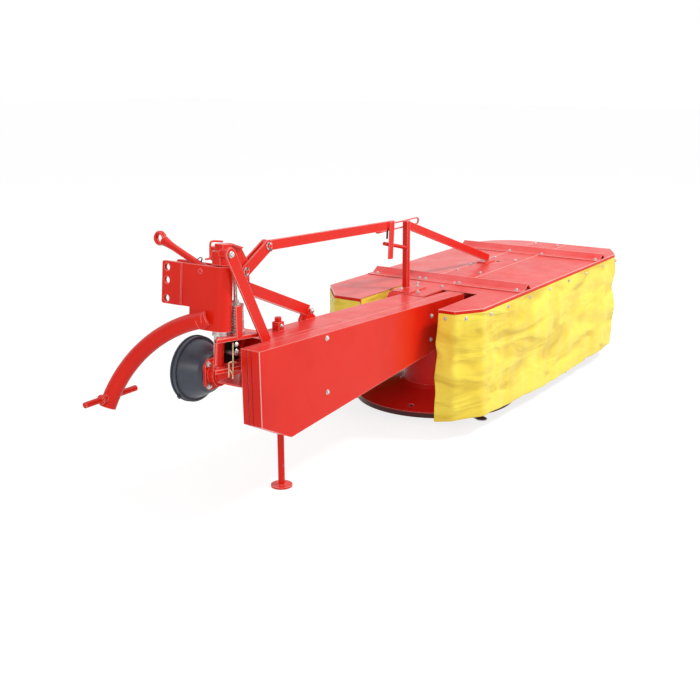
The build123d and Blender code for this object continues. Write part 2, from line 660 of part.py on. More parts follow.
def mast_plate():
    """Cap on the swing post with a web forward to the plate that carries the lever's lower pin."""
    lx, lz = LEVER_LOW
    y0, y1 = MAST_Y
    slope_x, slope_z = MAST_SLOPE_END
    plate = side_plate([
        (MAST_INNER, MAST_WEB_LOW), (MAST_INNER, MAST_TOP), (MAST_SLOPE_START, MAST_TOP), MAST_SLOPE_END,
        MAST_NOSE, (MAST_NOSE[0], MAST_FOOT), (MAST_HEEL, MAST_FOOT), MAST_WAIST,
    ], y0, y1)
    flange = side_plate([
        (MAST_SLOPE_START, MAST_TOP), MAST_SLOPE_END, (slope_x - MAST_SHEET / 2, slope_z - MAST_SHEET),
        (MAST_SLOPE_START - MAST_SHEET / 2, MAST_TOP - MAST_SHEET),
    ], y0 - MAST_FLANGE, y0)
    half_x, half_y = CAP_HALF
    cap = ON_POST * block(-half_x, half_x, -half_y, half_y, HEAD_TOP + CAP_GAP, CAP_TOP)
    web = block(MAST_INNER, MAST_INNER + MAST_WEB, SWING_Y - half_y, y0, MAST_WEB_LOW, MAST_TOP)
    sides = block(SWING_X, MAST_INNER, SWING_Y - half_y, SWING_Y + half_y, MAST_WEB_LOW, MAST_TOP)
    post = ON_POST * rod((0, 0, 0), (0, 0, CAP_TOP - CAP_ROOF), POST_R)
    hole = rod((lx, y0 - 1, lz), (lx, y1 + 1, lz), LIFT_PIN_R + PIN_PLAY)
    return plate + flange + cap + web + sides - post - hole


def leaned_bar(start, end, width, thick):
    """A flat bar from one place to another, its broad face turned to the rear."""
    start, end = Vector(*start), Vector(*end)
    way = (end - start).normalized()
    face = Vector(0, -1, 0) - way * Vector(0, -1, 0).dot(way)
    plane = Plane((start + end) * 0.5, x_dir=way, z_dir=face)
    return extrude(plane * Rectangle((end - start).length, width), amount=thick / 2, both=True)


def mast_strut():
    """Flat strut from a lug on the cap down to the beam's rear edge."""
    x, y, z = STRUT_UPPER
    past = Vector(*STRUT_LOWER) + (Vector(*STRUT_LOWER) - Vector(*STRUT_UPPER)).normalized() * STRUT_WIDTH
    strut = leaned_bar(STRUT_UPPER, tuple(past), STRUT_WIDTH, STRUT_THICK)
    lug = rod((x, SWING_Y, z), (x, y - STRUT_THICK / 2, z), STRUT_LUG_R)
    cap = ON_POST * block(-CAP_HALF[0], CAP_HALF[0], -CAP_HALF[1], CAP_HALF[1], HEAD_TOP, CAP_TOP)
    sides = block(SWING_X, MAST_INNER + MAST_WEB, SWING_Y - CAP_HALF[1], MAST_Y[0], MAST_WEB_LOW, MAST_TOP)
    screw = rod((SPRING_X, SPRING_Y, SWING_Z), (SPRING_X, SPRING_Y, ROD_TOP), ROD_R + 1)
    beam = ON_BEAM * block(BEAM_INNER - 100, BEAM_OUTER, GUARD_REAR, BEAM_FRONT, 0, BEAM_TOP)
    return strut + lug - cap - sides - screw - beam


def mast_brace():
    """Brace bar from the mast plate down to a pinned lug on the beam."""
    y0, y1 = BRACE_Y
    px, pz = BRACE_PIN
    bar = side_bar(BRACE_UPPER, BRACE_PIN, BRACE_DEPTH, y0, y1, round_ends=False)
    middle = (y0 + y1) / 2
    back, ahead = BRACE_LUG
    foot = beam_top_at(px + ahead) - BRACE_LUG_R
    lug = side_plate([
        (px - back, foot), (px - back, beam_top_at(px - back) + BRACE_LUG_HALF), (px - BRACE_LUG_R, pz),
        (px + BRACE_LUG_R, pz), (px + ahead, beam_top_at(px + ahead) + BRACE_LUG_HALF), (px + ahead, foot),
    ], middle - BRACE_LUG_HALF, middle + BRACE_LUG_HALF)
    lug += rod((px, middle - BRACE_LUG_HALF, pz), (px, middle + BRACE_LUG_HALF, pz), BRACE_LUG_R)
    lug += rod((px, y0 - BRACE_PIN_OUT, pz), (px, y1 + BRACE_PIN_OUT, pz), BRACE_PIN_R)
    return bar + lug - beam_envelope()


def relief_spring():
    """Coil spring round the threaded rod."""
    tall = SPRING_TALL - 2 * SPRING_WIRE_R
    path = Helix(tall / SPRING_TURNS, tall, SPRING_R)
    wire = sweep(Plane(path @ 0, z_dir=path % 0) * Circle(SPRING_WIRE_R), path)
    return Pos(SPRING_X, SPRING_Y, spring_low() + SPRING_WIRE_R) * wire


def spring_rod():
    """Threaded rod with its nut, top washer and foot seat."""
    low, high = spring_low(), spring_low() + SPRING_TALL
    seat_r = SPRING_R + SPRING_SEAT_OUT
    body = rod((SPRING_X, SPRING_Y, fork_face()), (SPRING_X, SPRING_Y, ROD_TOP), ROD_R)
    body += rod((SPRING_X, SPRING_Y, high), (SPRING_X, SPRING_Y, high + SPRING_SEAT), seat_r)
    body += extrude(Pos(SPRING_X, SPRING_Y, high + SPRING_SEAT) * RegularPolygon(ROD_NUT_R, 6), amount=ROD_NUT_TALL)
    body += rod((SPRING_X, SPRING_Y, fork_face()), (SPRING_X, SPRING_Y, low), seat_r)
    return body - ON_POST * fork_plates()


def fork_face():
    """A height just inside the fork's top plate, for what stands on it."""
    return SWING_Z + FORK_TOP - FORK_THICK


def spring_low():
    """Height of the spring's lower end, on a seat clear of the leaned fork plate."""
    lean = math.radians(SWING_LEAN)
    high_side = SPRING_X - SPRING_R - SPRING_SEAT_OUT
    fork_top = SWING_Z + FORK_TOP / math.cos(lean) - (high_side - SWING_X) * math.tan(lean)
    return fork_top + SPRING_SEAT


def spring_bracket():
    """Flat bar that stands on the fork behind the spring."""
    x0 = SPRING_X - BRACKET_IN - BRACKET_WIDTH / 2
    bar = block(x0, x0 + BRACKET_WIDTH, *BRACKET_Y, fork_face(), BRACKET_TOP)
    return bar - ON_POST * fork_plates()


def lift_lever():
    """Two plates that straddle the mast plate and the lift bar, joined by their pins."""
    near = (BAR_Y[0] - LINK_PLAY - LEVER_THICK, BAR_Y[0] - LINK_PLAY)
    far = (BAR_Y[1] + LINK_PLAY, BAR_Y[1] + LINK_PLAY + LEVER_THICK)
    lever = side_bar(LEVER_LOW, LEVER_HIGH, LEVER_WIDTH, *near)
    lever += side_bar(LEVER_LOW, LEVER_HIGH, LEVER_WIDTH, *far)
    for x, z in (LEVER_LOW, LEVER_HIGH):
        lever += rod((x, near[0] - 8, z), (x, far[1] + 8, z), LIFT_PIN_R)
    return lever


def lift_bar():
    """Long bar from the lever to a slotted loop beside the deck's lift post."""
    y0, y1 = BAR_Y
    fx, fz = BAR_FAR[0], POST_HEIGHT + BAR_FAR[1]
    ex, ez = LOOP_END[0], POST_HEIGHT + LOOP_END[1]
    hx, hz = LEVER_HIGH
    bar = side_bar(LEVER_HIGH, (fx, fz), BAR_DEPTH, y0, y1, round_ends=False)
    bar += rod((hx, y0, hz), (hx, y1, hz), BAR_DEPTH / 2)
    bar -= rod((hx, y0 - 1, hz), (hx, y1 + 1, hz), LIFT_PIN_R + PIN_PLAY)
    rod_x, rod_z = fx - LOOP_HEIGHT / 2, fz - LOOP_HEIGHT / 2
    loop = side_bar((rod_x, ez), (ex, ez), LOOP_HEIGHT, *LOOP_Y)
    loop -= side_bar((LOOP_SLOT_START, ez), (ex, ez), LOOP_SLOT, LOOP_Y[0] - 1, LOOP_Y[1] + 1)
    return bar + loop + rod((rod_x, y0, rod_z), (rod_x, LOOP_Y[1], rod_z), LIFT_PIN_R)


def bar_latch():
    """Flat latch that hangs on the rear face of the lift bar."""
    ux, uz = LATCH_UPPER[0], POST_HEIGHT + LATCH_UPPER[1]
    lower = (LATCH_LOWER[0], POST_HEIGHT + LATCH_LOWER[1])
    latch = side_bar((ux, uz), lower, LATCH_WIDTH, *LATCH_Y, round_ends=False)
    return latch + rod((ux, LATCH_Y[0], uz), (ux, BAR_Y[0], uz), LATCH_WIDTH / 2)


def lift_post():
    """Post bolted on the cover strip, with the pin that the loop rides on."""
    x, y = POST_AT
    half = POST_WIDTH / 2
    face = DECK_TOP - SHEET + STRIP_SHEET
    pin_z = POST_HEIGHT - POST_PIN_BELOW
    post = block(x - half, x + half, y - half, y + half, face, POST_HEIGHT)
    foot = block(x - POST_FOOT[0], x + POST_FOOT[1], y - POST_FOOT_REAR, y + POST_FOOT_FRONT,
                 face, face + FOOT_THICK)
    return post + foot + rod((x, y, pin_z), (x, POST_PIN_END, pin_z), LIFT_PIN_R)


def lift_stay():
    """Diagonal bar from the post's top down to its foot on the deck."""
    x, y = POST_AT
    fx, fy = STAY_FOOT
    pad_in, pad_out, pad_half = STAY_PAD
    face = DECK_TOP - SHEET + STRIP_SHEET
    top = Vector(x, y, POST_HEIGHT - STAY_BAR_WIDTH / 2)
    foot = Vector(fx, fy, face + STAY_BAR_WIDTH / 2)
    way = foot - top
    plane = Plane((top + foot) * 0.5, x_dir=way, z_dir=(way.Y, -way.X, 0))
    bar = extrude(plane * Rectangle(way.length, STAY_BAR_WIDTH), amount=STAY_BAR_THICK / 2, both=True)
    reach = STAY_BAR_WIDTH + STAY_BAR_THICK
    keep = block(x + POST_WIDTH / 2, fx + reach, y - reach, y + reach, face, POST_HEIGHT)
    pad = block(fx - pad_in, fx + pad_out, fy - pad_half, fy + pad_half, face, face + FOOT_THICK)
    return (bar & keep) + pad


def input_housing():
    """Bearing tube under the beam with its flange, saddle and the plates that hang it."""
    rear = GUARD_FRONT + SHAFT_PLAY
    tube = rod((INPUT_X, rear, INPUT_Z), (INPUT_X, HUB_FRONT, INPUT_Z), HUB_R)
    half = FLANGE / 2
    flange = block(INPUT_X - half, INPUT_X + half, HUB_FRONT, HUB_FRONT + FLANGE_THICK,
                   INPUT_Z - half, INPUT_Z + half)
    tube += chamfer(flange.edges().filter_by(Axis.Y), FLANGE_CORNER)
    collar_out, collar_long = HUB_COLLAR
    tube += rod((INPUT_X, HUB_FRONT - collar_long, INPUT_Z), (INPUT_X, HUB_FRONT, INPUT_Z), HUB_R + collar_out)
    inside_beam = beam_top_at(INPUT_X) - BEAM_DEPTH / 2
    hanger = [
        (INPUT_X + HANGER_INNER, inside_beam), (INPUT_X + HANGER_OUTER, inside_beam),
        (INPUT_X + HANGER_NECK, INPUT_Z), (INPUT_X - HANGER_NECK, INPUT_Z),
    ]
    for y in (BEAM_REAR + HANGER_THICK, BEAM_FRONT - 2 * HANGER_THICK):
        tube += side_plate(hanger, y, y + HANGER_THICK)
    saddle_in, saddle_out = SADDLE
    seat = INPUT_Z + HUB_R
    tube += block(INPUT_X + saddle_in, INPUT_X + saddle_out, BEAM_REAR + HANGER_THICK, BEAM_FRONT - HANGER_THICK,
                  seat - SADDLE_THICK, seat)
    bore = rod((INPUT_X, rear - 1, INPUT_Z), (INPUT_X, HUB_FRONT + FLANGE, INPUT_Z), SHAFT_COLLAR_R + SHAFT_PLAY)
    return tube - beam_envelope() - swing_fork() - bore


def shaft_guard():
    """Moulded cone round the input shaft, open to the front."""
    base = HUB_FRONT + FLANGE_THICK
    t = CONE_WALL
    length = CONE_LENGTH
    band = length - CONE_BAND
    cone = turned([
        (SHAFT_COLLAR_R + 14, 0), (CONE_BASE_R, 0), (CONE_BASE_R + 14, 12), (CONE_RIM_R - 8, band),
        (CONE_RIM_R, band), (CONE_RIM_R, length), (CONE_RIM_R - t, length), (CONE_RIM_R - t, band + t),
        (CONE_RIM_R - 8 - t, band + t), (CONE_BASE_R + 14 - t, 12 + t), (CONE_BASE_R - t, t),
        (SHAFT_COLLAR_R + 14, t),
    ])
    return Pos(INPUT_X, base, INPUT_Z) * Rot(-90, 0, 0) * cone


def input_shaft():
    """Splined input shaft with its collar."""
    base = HUB_FRONT + FLANGE_THICK
    collar = rod((INPUT_X, GUARD_FRONT + 6, INPUT_Z), (INPUT_X, base + 12, INPUT_Z), SHAFT_COLLAR_R)
    stub = rod((INPUT_X, base, INPUT_Z), (INPUT_X, base + SHAFT_STUB, INPUT_Z), SHAFT_R)
    return collar + stub


def hinge_pin():
    pin = rod((0, BEAM_REAR - 3, 0), (0, BEAM_FRONT + 12, 0), HINGE_PIN_R)
    head = rod((0, BEAM_FRONT, 0), (0, BEAM_FRONT + 12, 0), HINGE_PIN_R + 8)
    return ON_BEAM * (pin + head)


def build():
    parts = {
        "main_beam": main_beam(),
        "guard_cover": guard_half(GUARD_REAR, GUARD_SEAM, True),
        "guard_back": guard_half(GUARD_SEAM, GUARD_FRONT, False),
        "leg_sleeve": leg_sleeve(),
        "swing_post": swing_post(),
        "swing_fork": swing_fork(),
        "mast_plate": mast_plate(),
        "mast_strut": mast_strut(),
        "mast_brace": mast_brace(),
        "relief_spring": relief_spring(),
        "spring_rod": spring_rod(),
        "spring_bracket": spring_bracket(),
        "input_housing": input_housing(),
        "shaft_guard": shaft_guard(),
        "hinge_pin": hinge_pin(),
        "input_shaft": input_shaft(),
        "park_leg": park_leg(),
        "gear_beam": gear_beam(),
        "beam_cover": beam_cover(),
        "deck_front": deck_panel(True),
        "deck_rear": deck_panel(False),
        "skirt_rear": skirt("rear"),
        "skirt_front": skirt("front"),
        "skirt_slot": skirt("slot"),
        "lift_post": lift_post(),
        "lift_stay": lift_stay(),
        "lift_lever": lift_lever(),
        "lift_bar": lift_bar(),
        "bar_latch": bar_latch(),
        "hitch_head": hitch_head(),
        "left_arm": link_arm(LEFT_ARM, LEFT_PIN),
        "right_arm": link_arm(RIGHT_ARM, RIGHT_PIN),
        "stay_rod": stay_rod(),
    }
    for name, base_x in RIB_BASES:
        parts[name] = rib(base_x)
    for name, x in DRUMS:
        parts["drum_column_" + name] = drum_column(x)
        parts["drum_" + name] = Pos(x, 0, 0) * drum()
        parts["knives_" + name] = Pos(x, 0, 0) * Compound(knife_set())
        parts["dish_" + name] = Pos(x, 0, 0) * dish()
    return parts


PARTS = build()
whole = Compound([shape for shape in PARTS.values()]).bounding_box()
SHIFT = Vector(-(whole.min.X + whole.max.X) / 2, -(whole.min.Y + whole.max.Y) / 2, -whole.min.Z)

os.makedirs("parts", exist_ok=True)
for name, shape in PARTS.items():
    export_step(Pos(SHIFT) * shape, os.path.join("parts", name + ".step"))
print("shift", round(SHIFT.X, 3), round(SHIFT.Y, 3), round(SHIFT.Z, 3))
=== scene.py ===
"""The looks of a two-drum rotary mower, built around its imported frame. Metres."""
import json
import math
import bmesh
import bpy
from mathutils import Matrix, Vector, noise


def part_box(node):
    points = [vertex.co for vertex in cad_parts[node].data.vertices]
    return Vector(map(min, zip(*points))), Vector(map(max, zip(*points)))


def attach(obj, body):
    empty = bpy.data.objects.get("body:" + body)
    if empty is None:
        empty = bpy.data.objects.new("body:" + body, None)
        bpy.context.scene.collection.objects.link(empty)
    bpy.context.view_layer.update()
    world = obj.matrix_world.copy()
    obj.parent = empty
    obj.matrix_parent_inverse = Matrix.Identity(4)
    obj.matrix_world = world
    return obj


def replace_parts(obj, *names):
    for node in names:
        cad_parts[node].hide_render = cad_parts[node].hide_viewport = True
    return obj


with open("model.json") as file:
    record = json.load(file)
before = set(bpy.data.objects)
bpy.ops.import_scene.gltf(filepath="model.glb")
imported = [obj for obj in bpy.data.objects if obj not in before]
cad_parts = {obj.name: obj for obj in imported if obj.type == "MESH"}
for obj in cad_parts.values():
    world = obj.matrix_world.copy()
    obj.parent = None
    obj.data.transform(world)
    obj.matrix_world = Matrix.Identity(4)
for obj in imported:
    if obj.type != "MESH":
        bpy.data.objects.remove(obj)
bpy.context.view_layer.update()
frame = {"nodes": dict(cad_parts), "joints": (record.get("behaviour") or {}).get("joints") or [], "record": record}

# Camera, measured from the deck's hitch-side end on the ground
CAMERA_PLACE = (-3.875, -2.427, 1.603)
CAMERA_YAW = 55.961
CAMERA_PITCH = 15.293
CAMERA_ROLL = -0.254
CAMERA_LENS = 55.2
SENSOR = 36.0

# Slopes of the beam and of the swing post
BEAM_SLOPE = 2.5
SWING_LEAN = 6.0

# Colours, linear
RED = (0.74, 0.015, 0.004)
RED_DEEP = (0.65, 0.009, 0.003)
# Pale pink for the painted highlight along edges
RED_EDGE_HIGHLIGHT = (0.95, 0.46, 0.42)
# Pale pink for the painted sheen on upward faces
RED_PAINTED_SHEEN = (0.78, 0.16, 0.16)
DRUM_RED = (0.78, 0.007, 0.002)
YELLOW = (0.94, 0.76, 0.080)
YELLOW_SHADE = (0.80, 0.56, 0.040)
# Darker yellow for the painted shade in the folds' troughs
YELLOW_FOLD_SHADE = (0.66, 0.43, 0.025)
ZINC = (0.70, 0.70, 0.68)
BRIGHT = (0.88, 0.88, 0.86)
BRASSY = (0.72, 0.58, 0.36)
STEEL = (0.36, 0.35, 0.34)
SLATE = (0.034, 0.043, 0.062)
# Dark oily steel, also used as painted shade in the fork's hollow and the cover strip's hole
OILY_DARK_AND_SHADE = (0.030, 0.020, 0.018)
# Near black red for the painted shade at the drums' bottom
RIM_PAINTED_SHADE = (0.060, 0.012, 0.010)

# Painted highlight: a pale line along the edges of painted sheets
EDGE_HIGHLIGHT_REACH = 0.0042
EDGE_HIGHLIGHT_MOST = 0.85

# Cloth skirts, with the height of the hem at distances along the edge from the slot
CLOTH_CELL = 0.015
CLOTH_TOP_BELOW = 0.014
CLOTH_OUT = 0.0028
CLOTH_THICK = 0.0014
CLOTH_EXTRA = 0.010
CLOTH_HELD = 0.036
CLOTH_FRAMES = 26
CLOTH_IN, CLOTH_FAR = 0.012, 0.016
CORNER_FLARE = 0.022
# Share of the simulated swell that is kept, and the most that the relief stands out
SWELL_KEPT = 0.45
RELIEF_MOST = 0.015
LIP_TALL = 0.024
HEM_REAR = (
    (0.0, 0.078), (0.08, 0.094), (0.21, 0.094), (0.44, 0.084), (0.89, 0.069), (1.59, 0.080), (2.6, 0.086),
)
HEM_FRONT = ((0.0, 0.114), (0.14, 0.128), (0.40, 0.112), (1.2, 0.106), (2.6, 0.110))
SKIRT_BOLTS_REAR = (-0.298, 0.179, 0.346, 0.573, 0.793, 1.020, 1.245, 1.476, 1.659)
BOLT_BELOW = 0.035
SKIRT_BOLT_STEP = 0.20
BACKING_STEP = 0.03
BACKING_TALL = 0.030

# Strut from the cap to the beam: middle of its ends, and half its width
STRUT_UPPER = (-1.1559, -0.1045, 0.9653)
STRUT_LOWER = (-0.9782, -0.110, 0.6211)
STRUT_HALF = 0.0235
# The guard's hitch-side end, down its length on the beam, and the seams across it
GUARD_END = ((-1.3585, 0.1002), (-1.3422, -0.1760))
GUARD_SEAM = (-0.1470, -0.1650)

# Where the lower-link arms leave the head, and the next bend of each
ARM_ROOTS = (
    ((-1.192, -0.018, 0.737), (-1.262, 0.178, 0.640)),
    ((-1.128, 0.020, 0.745), (-0.868, 0.182, 0.700)),
)

# Outline of the fork's plates about the swing post, in millimetres
FORK_NOSE = ((-76, -50), (-60, -38), (-24, -20), (-24, 6), (-4, 22), (45, 52), (190, 52), (190, -50))
# The stay: its eye's distance from its foot, forward and up, and the eye's bore, radius, half thickness
STAY_SPAN = (0.227, 0.091)
STAY_EYE = (0.0140, 0.0262, 0.0100)

# Bolts along the cover strip, and on each rib's flange
STRIP_BOLTS = (
    (0.410, -0.048), (0.510, -0.060), (0.798, -0.046), (1.190, -0.050), (1.590, -0.050), (1.730, -0.050),
    (0.410, 0.082), (0.800, 0.082), (0.965, 0.094), (1.216, 0.081), (1.590, 0.082), (1.730, 0.082),
)
RIB_BOLTS = ((0.482, (-0.379, -0.084, 0.098, 0.132, 0.370)), (1.401, (-0.392, -0.090, 0.100, 0.370)))
# Outline of a rib over its place along the deck: distance from its edge, and height
RIB_SHEET = 0.0030
RIB_FOLD = ((0.0, 0.0), (0.048, 0.0), (0.084, 0.023), (0.112, 0.0), (0.124, 0.0))

# Bolts on the guard's rear face, round the lift post's foot, on the flange and on the box brace
GUARD_BOLTS = ((-0.735, 0.597), (-0.735, 0.388), (0.045, 0.525), (0.041, 0.422))
POST_BOLTS = ((0.224, -0.029), (0.241, 0.068), (0.330, 0.036), (1.060, 0.066), (1.133, 0.078))
FLANGE_BOLTS = ((-0.041, 0.041), (-0.041, -0.041), (0.041, 0.041), (0.041, -0.041))
BRACE_BOLT = (-0.588, -0.029, 0.650)

# Routes of the small bent rods
CATCH_ROD = ((0.276, 0.069, 0.763), (0.228, 0.060, 0.774), (0.130, 0.042, 0.797), (0.033, 0.031, 0.819))
CATCH_ROD_R = 0.0085
LATCH_STRIP = ((0.036, 0.018, 0.882), (0.046, 0.018, 0.882), (0.043, 0.018, 0.840), (0.033, 0.018, 0.840))
HANDLE_Y = -0.052
HANDLE_R = 0.0036
HANDLE_ROUTE = (
    (-1.128, 1.000), (-1.150, 1.004), (-1.176, 1.008), (-1.189, 1.004),
    (-1.192, 0.980), (-1.193, 0.958), (-1.199, 0.952), (-1.217, 0.953),
)
# The clip's wires: along, how far to the rear of the clip's own place, and height
CLIP_Y = -0.112
CLIP_R = 0.0026
CLIP_ROUTES = (
    ((-1.162, 0.0, 0.661), (-1.163, 0.0, 0.640), (-1.165, 0.0, 0.60), (-1.169, 0.0, 0.535)),
    ((-1.187, 0.0, 0.596), (-1.176, 0.003, 0.597), (-1.162, 0.0, 0.594), (-1.149, 0.0, 0.589)),
    ((-1.187, 0.0, 0.597), (-1.188, 0.0, 0.578), (-1.190, 0.0, 0.545)),
    ((-1.189, 0.0, 0.575), (-1.178, 0.003, 0.562), (-1.168, 0.0, 0.548)),
)

# Light from the sky, and each lamp's name, place, size and power
SKY = 0.62
LAMPS = (
    ("key", (1.6, -3.2, 4.6), 1.0, 190.0),
    ("fill", (-5.0, -1.8, 2.6), 2.6, 62.0),
)

JOINTS = {joint["name"]: joint for joint in frame["joints"]}
JOIN = {name: Vector(joint["pos_m"]) for name, joint in JOINTS.items() if "pos_m" in joint}
ORIGIN = Vector((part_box("deck_rear")[0][0], JOIN["inner_drum_spin"].y, 0.0))


def at(x, y, z):
    """A place measured from the middle of the deck's hitch-side end, on the ground."""
    return ORIGIN + Vector((x, y, z))


ON_BEAM = Matrix.Translation((JOIN["cutter_float"].x, ORIGIN.y, JOIN["cutter_float"].z)) @ Matrix.Rotation(
    math.radians(BEAM_SLOPE), 4, "Y")
ON_POST = Matrix.Translation(JOIN["head_swing"]) @ Matrix.Rotation(math.radians(SWING_LEAN), 4, "Y")


def on_beam(x, y, z):
    return ON_BEAM @ Vector((x, y, z))


def on_post(x, y, z):
    return ON_POST @ Vector((x, y, z))


# Materials

def new_material(name, color, roughness, metallic=0.0):
    material = bpy.data.materials.new(name)
    material.use_nodes = True
    nodes, links = material.node_tree.nodes, material.node_tree.links
    shader = nodes["Principled BSDF"]
    shader.inputs["Base Color"].default_value = (*color, 1.0)
    shader.inputs["Roughness"].default_value = roughness
    shader.inputs["Metallic"].default_value = metallic
    return material, nodes, links, shader


def add_noise(nodes, links, scale, detail=4.0, rough=0.55):
    place = nodes.new("ShaderNodeTexCoord")
    texture = nodes.new("ShaderNodeTexNoise")
    texture.inputs["Scale"].default_value = scale
    texture.inputs["Detail"].default_value = detail
    texture.inputs["Roughness"].default_value = rough
    links.new(place.outputs["Object"], texture.inputs["Vector"])
    return texture.outputs["Fac"]


def add_ramp(nodes, links, source, stops):
    ramp = nodes.new("ShaderNodeValToRGB")
    elements = ramp.color_ramp.elements
    while len(elements) < len(stops):
        elements.new(0.5)
    for element, (place, color) in zip(elements, stops):
        element.position = place
        element.color = (*color, 1.0) if len(color) == 3 else color
    links.new(source, ramp.inputs["Fac"])
    return ramp.outputs["Color"]


def add_bump(nodes, links, shader, sources):
    """Chains bumps: each source is (height, strength, distance)."""
    last = None
    for height, strength, distance in sources:
        bump = nodes.new("ShaderNodeBump")
        bump.inputs["Strength"].default_value = strength
        bump.inputs["Distance"].default_value = distance
        links.new(height, bump.inputs["Height"])
        if last is not None:
            links.new(last, bump.inputs["Normal"])
        last = bump.outputs["Normal"]
    links.new(last, shader.inputs["Normal"])


def grey(value):
    return (value, value, value)


def add_mix(nodes, links, factor, first, color):
    """Mixes a colour over another one where the factor is high."""
    mix = nodes.new("ShaderNodeMix")
    mix.data_type = "RGBA"
    links.new(factor, mix.inputs["Factor"])
    links.new(first, mix.inputs[6])
    mix.inputs[7].default_value = (*color, 1.0)
    return mix.outputs[2]


def add_product(nodes, links, first, second):
    product = nodes.new("ShaderNodeMath")
    product.operation = "MULTIPLY"
    links.new(first, product.inputs[0])
    links.new(second, product.inputs[1])
    return product.outputs[0]


def add_edge_highlight_mask(nodes, links, reach, most):
    """High along sheet edges, where a rounded normal turns away from the flat one: the mask of a painted
    highlight.
    """
    bevel = nodes.new("ShaderNodeBevel")
    bevel.samples = 4
    bevel.inputs["Radius"].default_value = reach
    flat = nodes.new("ShaderNodeNewGeometry")
    meet = nodes.new("ShaderNodeVectorMath")
    meet.operation = "DOT_PRODUCT"
    links.new(bevel.outputs["Normal"], meet.inputs[0])
    links.new(flat.outputs["Normal"], meet.inputs[1])
    return add_ramp(nodes, links, meet.outputs["Value"], [(0.80, grey(most)), (0.985, grey(0.0))])


def add_painted_sheen(nodes, links, cloud, most):
    """High on upward faces, in soft clouds: a painted sheen, as of the sky seen in the gloss."""
    place = nodes.new("ShaderNodeTexCoord")
    split = nodes.new("ShaderNodeSeparateXYZ")
    links.new(place.outputs["Normal"], split.inputs["Vector"])
    upward = add_ramp(nodes, links, split.outputs["Z"], [(0.45, grey(0.0)), (0.80, grey(most))])
    patches = add_ramp(nodes, links, cloud, [(0.30, grey(0.35)), (0.66, grey(1.0))])
    return add_product(nodes, links, upward, patches)


def red_paint(name="red_paint", color=RED, deep=RED_DEEP, sheen_most=0.30):
    """Gloss paint with faint orange peel, a painted highlight along its edges, a painted sheen on upward faces,
    and cloudy differences in tone and gloss.
    """
    material, nodes, links, shader = new_material(name, color, 0.34)
    cloud = add_noise(nodes, links, 2.6, 4.0)
    tone = add_ramp(nodes, links, cloud, [(0.26, deep), (0.52, color), (0.85, color)])
    sheen_mask = add_painted_sheen(nodes, links, add_noise(nodes, links, 4.4, 5.0), sheen_most)
    # Painted sheen: pale pink mixed in on upward faces
    tone = add_mix(nodes, links, sheen_mask, tone, RED_PAINTED_SHEEN)
    # Painted highlight: pale pink mixed in along sheet edges
    tone = add_mix(nodes, links, add_edge_highlight_mask(nodes, links, EDGE_HIGHLIGHT_REACH, EDGE_HIGHLIGHT_MOST), tone, RED_EDGE_HIGHLIGHT)
    links.new(tone, shader.inputs["Base Color"])
    rub = add_noise(nodes, links, 11.0, 4.0)
    gloss = add_ramp(nodes, links, rub, [(0.3, grey(0.28)), (0.7, grey(0.42))])
    links.new(gloss, shader.inputs["Roughness"])
    shader.inputs["Specular IOR Level"].default_value = 0.18
    shader.inputs["Coat Weight"].default_value = 0.10
    shader.inputs["Coat Roughness"].default_value = 0.14
    wave = add_noise(nodes, links, 9.0, 2.0)
    peel = add_noise(nodes, links, 260.0, 1.0)
    add_bump(nodes, links, shader, [(wave, 0.06, 0.004), (peel, 0.02, 0.0003)])
    return material


def drum_paint():
    """Red paint above, with painted shade as a dark band along the rim at the bottom."""
    material = red_paint("drum_paint", DRUM_RED, tuple(channel * 0.7 for channel in DRUM_RED), 0.10)
    nodes, links = material.node_tree.nodes, material.node_tree.links
    shader = nodes["Principled BSDF"]
    tone = shader.inputs["Base Color"].links[0].from_socket
    place = nodes.new("ShaderNodeTexCoord")
    split = nodes.new("ShaderNodeSeparateXYZ")
    links.new(place.outputs["Object"], split.inputs["Vector"])
    # Painted shade: dark below a height of about 0.058 m, along the drum's bottom band
    band = add_ramp(nodes, links, split.outputs["Z"], [(0.0575, grey(1.0)), (0.0590, grey(0.0))])
    links.new(add_mix(nodes, links, band, tone, RIM_PAINTED_SHADE), shader.inputs["Base Color"])
    return material


def metal(name, color, roughness, grain=60.0):
    """Bare or plated metal with a fine grain and cloudy tarnish."""
    material, nodes, links, shader = new_material(name, color, roughness, 0.85)
    cloud = add_noise(nodes, links, grain, 5.0)
    dark = tuple(channel * 0.62 for channel in color)
    tone = add_ramp(nodes, links, cloud, [(0.32, dark), (0.62, color)])
    links.new(tone, shader.inputs["Base Color"])
    rough = add_ramp(nodes, links, cloud, [(0.3, grey(roughness + 0.14)), (0.7, grey(roughness))])
    links.new(rough, shader.inputs["Roughness"])
    fine = add_noise(nodes, links, grain * 14, 2.0)
    add_bump(nodes, links, shader, [(fine, 0.12, 0.0003)])
    return material


def cone_plastic():
    """Dark slate plastic, faintly textured, with a soft shine."""
    material, nodes, links, shader = new_material("cone_plastic", SLATE, 0.38)
    cloud = add_noise(nodes, links, 14.0, 4.0)
    pale = tuple(channel * 1.6 for channel in SLATE)
    tone = add_ramp(nodes, links, cloud, [(0.3, SLATE), (0.75, pale)])
    links.new(tone, shader.inputs["Base Color"])
    gloss = add_ramp(nodes, links, cloud, [(0.3, grey(0.30)), (0.7, grey(0.44))])
    links.new(gloss, shader.inputs["Roughness"])
    grain = add_noise(nodes, links, 420.0, 3.0)
    add_bump(nodes, links, shader, [(grain, 0.10, 0.0004)])
    return material


